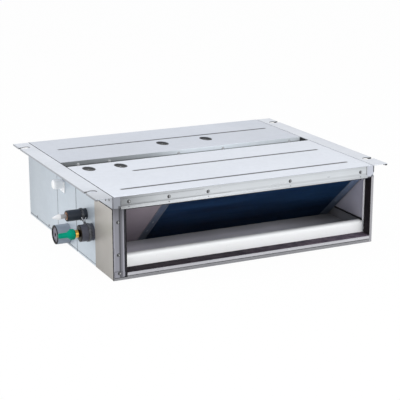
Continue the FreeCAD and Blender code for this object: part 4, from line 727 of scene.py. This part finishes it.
def pan_inside(middle, normal):
    """Faces of the tray's hollow: the floor and the walls that stand in from its outer faces."""
    x, y, z = np.abs(middle[:, 0]), middle[:, 1], middle[:, 2]
    bottom = (normal[:, 2] > FACING) & (z < PAN_FLOOR_TOP)
    side = (np.abs(normal[:, 0]) > FACING) & (x < PAN_SIDES) & (y < PAN_WALLS_END)
    front = (normal[:, 1] > FACING) & (y < PAN_FRONT_WALL)
    return bottom | side | front


def pan_lip(middle):
    """Edge along the top of the tray's front, by its middle."""
    return (middle[:, 1] < pan_front + LIP_REACH) & (middle[:, 2] > PAN_LIP)


rounded_copy("drain_pan", pan_foam, fold=0, second=(pan_liner, pan_inside),
             soft=pan_lip, soft_fold=0.009)

# Coil: blue-coated aluminium fins on copper tubes, leaning back over the pan. Each fin is a thin
# corrugated strip with its own edge, set apart by its collars.

COIL_TILT = math.radians(40.5)
DOWN_SLOPE = np.array([0, math.cos(COIL_TILT), -math.sin(COIL_TILT)])
THROUGH = np.array([0, math.sin(COIL_TILT), math.cos(COIL_TILT)])
COIL_START = np.array([0, outlet_face + 0.035, 0.1646])
COIL_LENGTH = 0.231
COIL_DEPTH = 0.040
FIN_PITCH = 0.0021
FIN_GAUGE = 0.00022
FIN_WAVE = 0.00035
FIN_ROWS = 45
WAVE_PITCH = 0.0105
TUBE_PITCH = 0.021
TUBE_RADIUS = 0.004
TUBE_ROWS = 3
TUBES_IN_ROW = 11
TUBE_SIDES = 12
fin_left, fin_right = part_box("evaporator_fins")[0].x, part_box("evaporator_fins")[1].x


def on_coil(x, slope, depth):
    """Points of the coil's own frame, whose second axis runs down the face and third into it."""
    x, slope, depth = np.broadcast_arrays(x, slope, depth)
    return (COIL_START + x[..., None] * np.array([1.0, 0, 0]) + slope[..., None] * DOWN_SLOPE
            + depth[..., None] * THROUGH)


def coil_fins(material):
    """Stack of fins: x is the fin's place plus a sine wave down the slope, thin from front to back."""
    places = np.arange(fin_left + FIN_PITCH / 2, fin_right, FIN_PITCH)
    slope = np.linspace(0, COIL_LENGTH, FIN_ROWS)
    place, down, corner = np.meshgrid(places, slope, np.arange(4), indexing="ij")
    x = place + FIN_WAVE * np.sin(2 * math.pi * down / WAVE_PITCH)
    x = x + np.array([-1, 1, 1, -1])[corner] * FIN_GAUGE / 2
    points = on_coil(x, down, np.array([0, 0, 1, 1])[corner] * COIL_DEPTH)
    fins = add_object("coil_fins", ring_mesh("coil_fins", points), "casing", material)
    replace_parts(fins, "evaporator_fins")


def coil_tubes(material):
    """Copper tubes through the fins: circles on a staggered grid of places, run from end to end."""
    rows = COIL_DEPTH * (np.arange(TUBE_ROWS) + 0.5) / TUBE_ROWS
    slopes = TUBE_PITCH * (np.arange(TUBES_IN_ROW) + 0.5)
    tube, end, turn = np.meshgrid(np.arange(TUBE_ROWS * TUBES_IN_ROW), np.array([fin_left, fin_right]),
                                  np.linspace(0, 2 * math.pi, TUBE_SIDES, endpoint=False), indexing="ij")
    points = on_coil(end, slopes[tube // TUBE_ROWS] + TUBE_RADIUS * np.cos(turn),
                     rows[tube % TUBE_ROWS] + TUBE_RADIUS * np.sin(turn))
    add_object("coil_tubes", ring_mesh("coil_tubes", points), "casing", material)


# Painted shade: the fins darken towards the bottom of the coil.
fin_blue = finish("fin_blue", (0.013, 0.055, 0.165), (0.042, 0.14, 0.34), metallic=0.3, turn=-COIL_TILT,
                  rough=(0.4, 0.55), cloud=30, stretch=(9, 1, 1), grain=200, relief=0.0,
                  bands=[("Z", [(0.05, 0.35), (0.09, 0.6), (0.13, 0.9), (0.165, 1.05)])])
tube_copper = finish("tube_copper", (0.42, 0.18, 0.10), (0.62, 0.30, 0.18), metallic=0.9,
                     rough=(0.3, 0.45), cloud=30, grain=700, relief=0.00004)
coil_fins(fin_blue)
coil_tubes(tube_copper)

# Coil end plates: punched galvanised plates that carry the tubes, with bright strips of painted
# highlight along their folded edges, rivets down the face, and the cover over the pipes. Plates,
# edge strips and cover are painted darker towards the bottom as shade, and the right plate lighter.

# Painted light and shade: the plates darken towards the bottom, and the right one is lighter.
plate_zinc = zinc_sheet("plate_zinc", (0.08, 0.11, 0.17), (0.13, 0.17, 0.26), metallic=0.45,
                        rough=(0.35, 0.5), cloud=10, relief=0.00005,
                        bands=[("Z", [(0.04, 0.3), (0.165, 1.2)]),
                               ("X", [(-0.2, 1.0), (0.1, 1.0), (0.3, 2.0)])])
for node in ("coil_left_end_plate", "coil_right_end_plate"):
    rounded_copy(node, plate_zinc)
edge_zinc = zinc_sheet("edge_zinc", (0.26, 0.29, 0.34), (0.40, 0.43, 0.48), metallic=0.4,
                       rough=(0.3, 0.45), cloud=30, relief=0.00005,
                       bands=[("Z", [(0.04, 0.35), (0.165, 0.8)])])
PLATE_FRONT = -0.0018
PLATE_ENDS = 0.001, 0.230
# Painted highlights: lighter strips along the plates' folded edges, darkening towards the bottom as shade.
strips("end_plate_edges", edge_zinc, [
    (*(on_coil(x, slope, PLATE_FRONT) for slope in PLATE_ENDS), width, 0.0006, (1, 0, 0))
    for x, width in ((-0.2084, 0.0012), (-0.1897, 0.0014), (0.3146, 0.0012), (0.3393, 0.0014))],
    power=6, count=12)
# Painted shade: the cover darkens towards the bottom.
cover_zinc = finish("cover_zinc", (0.22, 0.185, 0.215), (0.30, 0.255, 0.29), metallic=0.25,
                    rough=(0.4, 0.55), cloud=6, grain=500, relief=0.00005,
                    bands=[("Z", [(0.06, 0.85), (0.165, 1.05)])])
rounded_copy("header_cover_plate", cover_zinc)

# Refrigerant pipes: drawn copper tubes, bent and brazed to the return bends, the header and the
# distributor, and led out through the left side sheet.

for node in ("return_bends", "gas_header", "gas_pipe", "liquid_pipe", "liquid_distributor"):
    rounded_copy(node, tube_copper, fold=0)

# Pipe sleeves: tubes of foam rubber with a skinned outside and black cut ends, slid over the
# pipes. The drain's sleeve is closed by a disc round a small hole.


def turned(name, body, material, middle, outline, closed=False, fold=0.0004, sides=56,
           flutes=0.0, around=12):
    """Surface turned about a line along X through middle, out of the left side sheet.

    The outline is rows of reach beyond the sheet, radius and tone. Where flutes isn't zero, radii of
    rows with a tone over one swell and shrink by that share, as the sine of the angle times around.
    """
    reach, radius, tone = np.array(outline, float).T
    turn = np.linspace(0, 2 * math.pi, sides, endpoint=False)
    swell = 1 + flutes * (tone > 1)[:, None] * np.sin(around * turn)
    rings = np.stack([np.broadcast_to((sheet_face - reach)[:, None], swell.shape),
                      middle[0] + radius[:, None] * swell * np.cos(turn),
                      middle[1] + radius[:, None] * swell * np.sin(turn)], -1)
    mesh = ring_mesh(name, rings[None], ends=not closed, tones=np.minimum(tone, 1)[None, :, None])
    piece = add_object(name, mesh, body, material)
    if fold:
        fold_edges(piece, fold)
    return piece


def sleeve(name, middle, end, radius, recess, bore, material):
    """Foam tube with a wider recess at its open end; the cut ring and its corners are dark foam, and the
    recess is painted dark as shade.
    """
    return turned(name, "casing", material, middle, [
        (-0.008, radius, 0), (end - 0.0030, radius, 0), (end - 0.0016, radius, 0.2),
        (end - 0.0006, radius - 0.0004, 1), (end, radius - 0.0014, 1), (end, recess + 0.0006, 1),
        (end - 0.0006, recess, 1), (end - 0.0016, recess, 1), (end - 0.0020, recess + 0.0027, 1),
        (end - 0.008, recess + 0.0027, 1), (end - 0.008, bore, 1), (-0.008, bore, 1)],
        closed=True, fold=0)


def middle_of(node):
    """Y and Z of the middle of a CAD node's box."""
    low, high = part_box(node)
    return (low.y + high.y) / 2, (low.z + high.z) / 2


def sleeve_rubber(name, dark, light, press, specular=0.15, rough=(0.3, 0.45)):
    """Finish of skinned foam rubber, with streaks drawn out along the tube and a darker cut end, its recess
    darkened as painted shade.
    """
    return finish(name, dark, light, rough=rough, press=press, specular=specular, cloud=25,
                  stretch=(0.4, 1, 1), grain=350, relief=0.0004)


LIQUID = middle_of("liquid_pipe")[0], middle_of("liquid_cap")[1]
GAS = middle_of("gas_cap")
DRAIN = middle_of("drain_pipe")
liquid_rubber = sleeve_rubber("liquid_rubber", (0.020, 0.025, 0.034), (0.036, 0.043, 0.058), 0.02, 0.25)
gas_rubber = sleeve_rubber("gas_rubber", (0.055, 0.056, 0.074), (0.09, 0.092, 0.115), 0.01)
drain_rubber = sleeve_rubber("drain_rubber", (0.27, 0.31, 0.37), (0.36, 0.40, 0.46), 0.008, rough=(0.35, 0.5))
disc_rubber = finish("disc_rubber", (0.13, 0.125, 0.155), (0.21, 0.20, 0.24), rough=(0.6, 0.75), press=0.1,
                     cloud=50, grain=350, relief=0.0005)
for name, middle, end, radius, recess, bore, rubber, node in (
        ("liquid_sleeve", LIQUID, 0.050, 0.0135, 0.0098, 0.0035, liquid_rubber, "liquid_insulation"),
        ("gas_sleeve", GAS, 0.033, 0.0205, 0.0100, 0.0067, gas_rubber, "gas_insulation"),
        ("drain_sleeve", DRAIN, 0.036, 0.0245, 0.0190, 0.0113, drain_rubber, "drain_insulation")):
    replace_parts(sleeve(name, middle, end, radius, recess, bore, rubber), node)
# Painted shade: the disc darkens into its hole.
turned("drain_disc", "casing", disc_rubber, DRAIN, [
    (0.0290, 0.0188, 0), (0.0335, 0.0188, 0), (0.0340, 0.0182, 0), (0.0342, 0.0050, 0), (0.0339, 0.0040, 1),
    (0.0290, 0.0040, 1)], closed=True, fold=0)

# Nuts: turned brass nuts that draw the flared pipe ends up tight. The gas one is bright and carries
# a collar, and the liquid one is dull, with the flare's copper lip inside.

nut_brass = finish("nut_brass", (0.62, 0.33, 0.05), (0.84, 0.52, 0.13), metallic=0.8, rough=(0.25, 0.4),
                   cloud=60, grain=700, relief=0.00005, press=0.02)
# Painted shade: the gas nut's brass darkens on its neck by the sleeve's mouth and at its end.
gas_nut = turned("gas_nut", "gas_nut_body", nut_brass, GAS, [
    (0.0262, 0.0064, 0), (0.0262, 0.0120, 0), (0.0300, 0.0120, 0), (0.0308, 0.0094, 1), (0.0362, 0.0092, 1),
    (0.0368, 0.0094, 0), (0.0380, 0.0094, 0), (0.0440, 0.0094, 0), (0.0448, 0.0086, 0.5),
    (0.0448, 0.0064, 0)], closed=True)
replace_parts(gas_nut, "gas_flare_nut")
nut_copper = finish("nut_copper", (0.30, 0.13, 0.055), (0.48, 0.22, 0.10), metallic=0.6, rough=(0.3, 0.45),
                    cloud=120, grain=700, relief=0.0001, press=0.25)
# Painted shade: the liquid nut darkens in the groove round the flare's lip and at its outer edge.
liquid_nut = turned("liquid_nut", "liquid_nut_body", nut_copper, LIQUID, [
    (0.0430, 0.0033, 0), (0.0430, 0.0095, 0), (0.0488, 0.0095, 0.3), (0.0496, 0.0088, 0),
    (0.0498, 0.0062, 0.5), (0.0492, 0.0055, 1), (0.0498, 0.0048, 0), (0.0498, 0.0033, 0)], closed=True)
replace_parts(liquid_nut, "liquid_flare_nut")

# Caps: moulded plastic transport caps that push over the pipe ends, the green one fluted for the
# fingers and drawn out to a stem, the white one a ribbed collar with a cone.

cap_green = finish("cap_green", (0.0, 0.18, 0.105), (0.0, 0.28, 0.18), rough=(0.3, 0.42), cloud=40,
                   specular=0.05, grain=300, relief=0.00005)
gas_cap = turned("gas_cap_moulded", "gas_cap_body", cap_green, GAS, [
    (0.0555, 0.0003, 0), (0.0555, 0.0066, 0), (0.0452, 0.0066, 0), (0.0452, 0.0112, 0), (0.0465, 0.0122, 0),
    (0.0482, 0.0125, 2), (0.0545, 0.0125, 2), (0.0562, 0.0120, 2), (0.0590, 0.0098, 0), (0.0625, 0.0072, 0),
    (0.0650, 0.0067, 0), (0.0825, 0.0063, 0), (0.0842, 0.0054, 0), (0.0848, 0.0040, 0), (0.0848, 0.0003, 0)],
    fold=0, sides=96, flutes=0.035)
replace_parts(gas_cap, "gas_cap")
# Painted shade: the white cap's collar is darker than its cone.
cap_white = finish("cap_white", (0.50, 0.49, 0.48), (0.66, 0.66, 0.68), rough=(0.25, 0.4), cloud=40,
                   grain=300, relief=0.00005,
                   bands=[("X", [(-0.434, 1.15), (-0.4135, 1.15), (-0.4125, 0.62), (-0.3975, 0.55)])])
liquid_cap = turned("liquid_cap_moulded", "liquid_cap_body", cap_white, LIQUID, [
    (0.0645, 0.0003, 0), (0.0645, 0.0035, 0), (0.0502, 0.0035, 0), (0.0502, 0.0052, 0), (0.0510, 0.0055, 0),
    (0.0625, 0.0055, 2), (0.0640, 0.0058, 0), (0.0645, 0.0070, 0), (0.0675, 0.0072, 0), (0.0700, 0.0064, 0),
    (0.0820, 0.0022, 0), (0.0842, 0.0013, 0), (0.0850, 0.0003, 0)], fold=0, flutes=0.03, around=8)
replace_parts(liquid_cap, "liquid_cap")

# Pipe clip: two sprung bands of black nylon, one round each sleeve, joined by a short strap and drawn
# together by a twisted tie of bare wire.

clip_nylon = finish("clip_nylon", (0.035, 0.036, 0.042), (0.12, 0.125, 0.14), rough=(0.22, 0.35), cloud=90,
                    grain=500, relief=0.0001, press=0.08)
tie_wire = finish("tie_wire", (0.60, 0.62, 0.65), (0.80, 0.82, 0.85), metallic=0.4, rough=(0.25, 0.4),
                  cloud=200, grain=900, relief=0.0001)
# Painted shade: each band darkens at its edges, where it meets the sleeve.
CLIP_EDGES = ((0.0078, 0.0003, 1), (0.0078, 0.0012, 1), (0.0088, 0.0017, 0.4), (0.0100, 0.0018, 0),
              (0.0130, 0.0018, 0), (0.0142, 0.0017, 0.4), (0.0152, 0.0012, 1), (0.0152, 0.0003, 1))
for name, middle, radius in (("liquid_band", LIQUID, 0.0135), ("gas_band", GAS, 0.0205)):
    band = turned(name, "casing", clip_nylon, middle,
                  [(reach, radius + rise, tone) for reach, rise, tone in CLIP_EDGES], closed=True, fold=0)
    if name == "liquid_band":
        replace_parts(band, "pipe_clip")
CLIP_X = sheet_face - 0.0115
strips("clip_strap", clip_nylon, [
    ((CLIP_X, -0.1425, 0.1035), (CLIP_X, -0.1555, 0.0975), 0.0062, 0.0016, (1, 0, 0)),
    ((CLIP_X + 0.004, -0.1430, 0.1050), (CLIP_X - 0.003, -0.1500, 0.0960), 0.0022, 0.0020, (1, 0, 0)),
    ((CLIP_X - 0.004, -0.1415, 0.1075), (CLIP_X + 0.003, -0.1490, 0.0990), 0.0020, 0.0020, (1, 0, 0))],
    wander=0.1, count=16)
strips("clip_tie", tie_wire, [
    ((CLIP_X - 0.0055, -0.1432, 0.1120), (CLIP_X + 0.0010, -0.1478, 0.1000), 0.0014, 0.0014, (1, 0, 0)),
    ((CLIP_X + 0.0060, -0.1430, 0.1110), (CLIP_X - 0.0010, -0.1478, 0.1010), 0.0014, 0.0014, (1, 0, 0)),
    ((CLIP_X - 0.0030, -0.1468, 0.1035), (CLIP_X + 0.0040, -0.1482, 0.0985), 0.0018, 0.0018, (1, 0, 0))],
    wander=0.12, count=16)

# Drains: the gravity drain's pipe, the pump with its riser, and the pump's moulded outlet with a
# small plate against the side sheet.

pipe_grey = finish("pipe_grey", (0.24, 0.25, 0.27), (0.30, 0.31, 0.33), rough=(0.4, 0.55), cloud=30,
                   grain=400, relief=0.0001)
for node in ("drain_pipe", "drain_pump"):
    rounded_copy(node, pipe_grey)
port_white = finish("port_white", (0.91, 0.92, 0.93), (0.95, 0.955, 0.96), rough=(0.3, 0.45), cloud=30,
                    grain=400, relief=0.0001, press=0.5)
PORT = middle_of("pump_drain_port")[0], 0.1515
# Painted shade: the outlet darkens in its mouth.
pump_outlet = turned("pump_outlet", "casing", port_white, PORT, [
    (-0.0070, 0.0003, 0), (-0.0070, 0.0085, 0), (0.0022, 0.0085, 0), (0.0022, 0.0126, 0),
    (0.0190, 0.0129, 0), (0.0225, 0.0126, 0), (0.0255, 0.0114, 0), (0.0270, 0.0095, 0),
    (0.0274, 0.0070, 0.25), (0.0270, 0.0030, 0.25), (0.0270, 0.0003, 0.25)], fold=0)
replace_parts(pump_outlet, "pump_drain_port")
PORT_PLATE = sheet_face - 0.0011
strips("pump_outlet_plate", port_white, [
    ((PORT_PLATE, PORT[0], 0.1305), (PORT_PLATE, PORT[0], 0.1590), 0.0300, 0.0019, (0, 1, 0))],
    power=9, count=6, sides=40)

# Fans: two drums of forward-curved blades on one steel shaft, each in a scroll housing moulded in two
# halves of black plastic. A band holds the motor between them in a galvanised cradle.

housing_plastic = finish("housing_plastic", (0.030, 0.031, 0.033), (0.050, 0.051, 0.054), rough=(0.4, 0.6),
                         cloud=12, grain=400, relief=0.0002)
for side in ("left", "right"):
    for half in ("lower", "upper"):
        rounded_copy(f"{side}_fan_housing_{half}", housing_plastic)
    rounded_copy(f"{side}_impeller", housing_plastic, fold=0, body="fan_rotor")
shaft_steel = finish("shaft_steel", (0.42, 0.43, 0.45), (0.55, 0.56, 0.58), metallic=0.95,
                     rough=(0.2, 0.35), cloud=40, stretch=(0.2, 1, 1), grain=900, relief=0.00003)
rounded_copy("fan_shaft", shaft_steel, body="fan_rotor")
motor_black = finish("motor_black", (0.012, 0.012, 0.014), (0.03, 0.03, 0.033), rough=(0.3, 0.45),
                     cloud=20, grain=500, relief=0.0001)
rounded_copy("fan_motor", motor_black)
inner_zinc = zinc_sheet("inner_zinc", (0.42, 0.44, 0.47), (0.52, 0.54, 0.57), metallic=0.5,
                        rough=(0.35, 0.5), cloud=5)
for node in ("motor_bracket", "partition_plate"):
    rounded_copy(node, inner_zinc)

# Air inlet: a border of galvanised sheet round the open back, with holes for a duct's screws, and
# two folded channels that hold the filter from above and below.

for node in ("inlet_frame", "filter_guides"):
    rounded_copy(node, inner_zinc)

# Air filter: a moulded plastic frame with cross bars, backed by a net of woven nylon strands, which
# slides out sideways along its guides.

NET_PITCH = 0.006
STRAND = 0.00022


def net_strands(name, along, over, material):
    """Strands of a woven net: each runs straight while its depth follows a cosine of its place, one
    half wave to a crossing, and neighbours start half a wave apart."""
    low, high = (np.array(corner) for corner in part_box("air_filter_mesh"))
    places = np.arange(low[over] + NET_PITCH / 2, high[over], NET_PITCH)
    steps = np.arange(low[along], high[along], NET_PITCH / 2)
    place, step, corner = np.meshgrid(places, steps, np.arange(4), indexing="ij")
    row = np.round((place - low[over]) / NET_PITCH - 0.5)
    sign = 1 if along == 2 else -1
    points = np.empty(place.shape + (3,))
    points[..., along] = step
    points[..., over] = place + STRAND * np.array([1, 0, -1, 0])[corner]
    points[..., 1] = ((low[1] + high[1]) / 2 + STRAND * np.array([0, 1, 0, -1])[corner]
                      + sign * STRAND * np.cos(math.pi * ((step - low[along]) / NET_PITCH - 0.5 + row)))
    return add_object(name, ring_mesh(name, points), "air_filter", material)


filter_plastic = finish("filter_plastic", (0.02, 0.02, 0.022), (0.035, 0.035, 0.038), rough=(0.4, 0.55),
                        cloud=20, grain=400, relief=0.0001)
net_nylon = finish("net_nylon", (0.05, 0.055, 0.06), (0.08, 0.085, 0.09), rough=(0.5, 0.7), cloud=60,
                   grain=900, relief=0.0001)
rounded_copy("air_filter_frame", filter_plastic, body="air_filter")
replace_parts(net_strands("filter_net_upright", 2, 0, net_nylon), "air_filter_mesh")
net_strands("filter_net_across", 0, 2, net_nylon)

# Control box: a folded box of galvanised sheet behind the left rear sheet, open towards it, with the
# circuit board on posts in front of its inner wall.

rounded_copy("control_box", inner_zinc)
board_green = finish("board_green", (0.02, 0.09, 0.035), (0.03, 0.14, 0.055), rough=(0.35, 0.5),
                     cloud=90, grain=900, relief=0.0001)
rounded_copy("circuit_board", board_green)

# Screws: zinc-plated pan heads with a cross recess, each on a dark washer, on the flanges, in the
# dimples, along the channel's wall and at the side's foot; painted shade darkens the washer, the
# recess and one side of each head. Rivets hold the rail's leg and the coil's end plates, and five
# dark marks on the outlet's lip under the top screws are painted reflections of them.

HEAD_SHARE = 0.66
FAINT = 0.25
SMALL_HEAD = 0.006
RECESS_WIDTH = 0.17
RECESS_LENGTH = 0.62
RECESS_DEPTH = 0.45
HEAD_SIDES = 32


def loose_parts(node):
    """Lowest and highest corner of each loose part: labels spread along edges until they settle."""
    mesh = merged_copy(node)
    places = mesh_array(mesh.vertices, "co", 3)
    ends = mesh_array(mesh.edges, "vertices", 2, np.int32)
    label = np.arange(len(places))
    settled = False
    while not settled:
        spread = label.copy()
        for end in (0, 1):
            np.minimum.at(spread, ends[:, end], label[ends].min(1))
        settled = (spread == label).all()
        label = spread
    return [(places[label == part].min(0), places[label == part].max(0)) for part in np.unique(label)]


def screw_heads(name, feet, outward, radius, height, mark, material):
    """Round heads on their washers, for arrays of feet, outward axes, radii, heights and shares of painted
    shade.

    Height over the sheet is a share of the head's, from a table over the distance from the middle
    that drops at the rim to the washer and then to the sheet, less a cross-shaped recess. The rim,
    the recess and one side of the head are darker: painted shade, over the washer's own dark at the rim.
    """
    distance = np.array([0.02, 0.12, 0.24, 0.36, 0.48, 0.6, 0.72, 0.86, 0.96, 1.0, 1.02, 1.3, 1.55, 1.6])
    dome = np.array([1, 1, 0.98, 0.96, 0.92, 0.87, 0.8, 0.68, 0.5, 0.35, 0.16, 0.14, 0.12, 0.01])
    rim = np.array([0, 0, 0, 0, 0, 0, 0, 0, 0.1, 0.7, 1, 1, 1, 1])
    turn = np.linspace(0, 2 * math.pi, HEAD_SIDES, endpoint=False)
    u, v = distance[:, None] * np.cos(turn), distance[:, None] * np.sin(turn)
    thin, long = np.minimum(np.abs(u), np.abs(v)), np.maximum(np.abs(u), np.abs(v))
    recess = np.clip(1.3 - np.maximum(thin / RECESS_WIDTH, long / RECESS_LENGTH), 0, 0.5) * 2
    lift = dome[:, None] - RECESS_DEPTH * recess
    first = np.roll(outward, 1, axis=1)
    second = np.cross(outward, first)
    aside = u[..., None] * first[:, None, None] + v[..., None] * second[:, None, None]
    rings = (feet[:, None, None] + radius[:, None, None, None] * aside
             + height[:, None, None, None] * lift[..., None] * outward[:, None, None])
    # Painted shade down one side of the head.
    shade = np.clip(0.5 - 2 * v, 0.1, 0.9)
    tones = np.maximum(np.maximum(rim[:, None], shade), recess) * mark[:, None, None]
    return add_object(name, ring_mesh(name, rings, tones=tones), "casing", material)


def node_screws(name, node, material):
    """Heads over a CAD node's screws: its loose parts are thin along their axes and stand outwards."""
    low, high = (np.array(corners) for corners in zip(*loose_parts(node)))
    extent = high - low
    axis = extent.argmin(1)
    outward = np.eye(3)[axis] * np.where(axis == 2, 1, -1)[:, None]
    height = extent.min(1)
    feet = (low + high) / 2 - outward * height[:, None] / 2
    # Painted shade is faint on the channel's screws and the small heads.
    mark = np.where((axis == 1) & (feet[:, 1] > 0) | (extent.max(1) < SMALL_HEAD), FAINT, 1)
    heads = screw_heads(name, feet, outward, extent.max(1) / 2 * HEAD_SHARE, height, mark, material)
    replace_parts(heads, node)


screw_zinc = finish("screw_zinc", (0.62, 0.63, 0.65), (0.82, 0.83, 0.85), metallic=0.5,
                    rough=(0.25, 0.4), cloud=200, grain=900, relief=0.00003, press=0.05)
for place in ("flange", "panel"):
    node_screws(f"{place}_screw_heads", f"{place}_screws", screw_zinc)
rail_feet = np.array([(-0.35, -0.2656, 0.1846), (-0.35, -0.2876, 0.1901)])
screw_heads("rail_rivets", rail_feet, np.array([(-1.0, 0, 0)] * 2), np.full(2, 0.0020), np.full(2, 0.0012),
            np.ones(2), screw_zinc)
PLATE_FACE = -0.0015
plate_feet = np.array([on_coil(x, slope, PLATE_FACE) for x, slope in (
    (0.327, 0.055), (0.327, 0.095), (0.327, 0.135), (-0.199, 0.012), (-0.199, 0.11), (-0.199, 0.16))])
screw_heads("end_plate_rivets", plate_feet, np.tile(-THROUGH, (6, 1)), np.full(6, 0.0026),
            np.full(6, 0.0012), np.full(6, FAINT), edge_zinc)
REFLECTION_LINE = outlet_face - 0.0017
# Painted reflections: dark marks on the lip below the top flange's screws.
strips("lip_screw_reflections", sealant_and_shade, [
    ((x - 0.0010, REFLECTION_LINE, 0.1745), (x + 0.0010, REFLECTION_LINE, 0.1745), 0.0022, 0.0008, (0, -0.6, 0.8))
    for x in (-0.31, -0.21, -0.11, 0.11, 0.31)], wander=0.2, count=6)
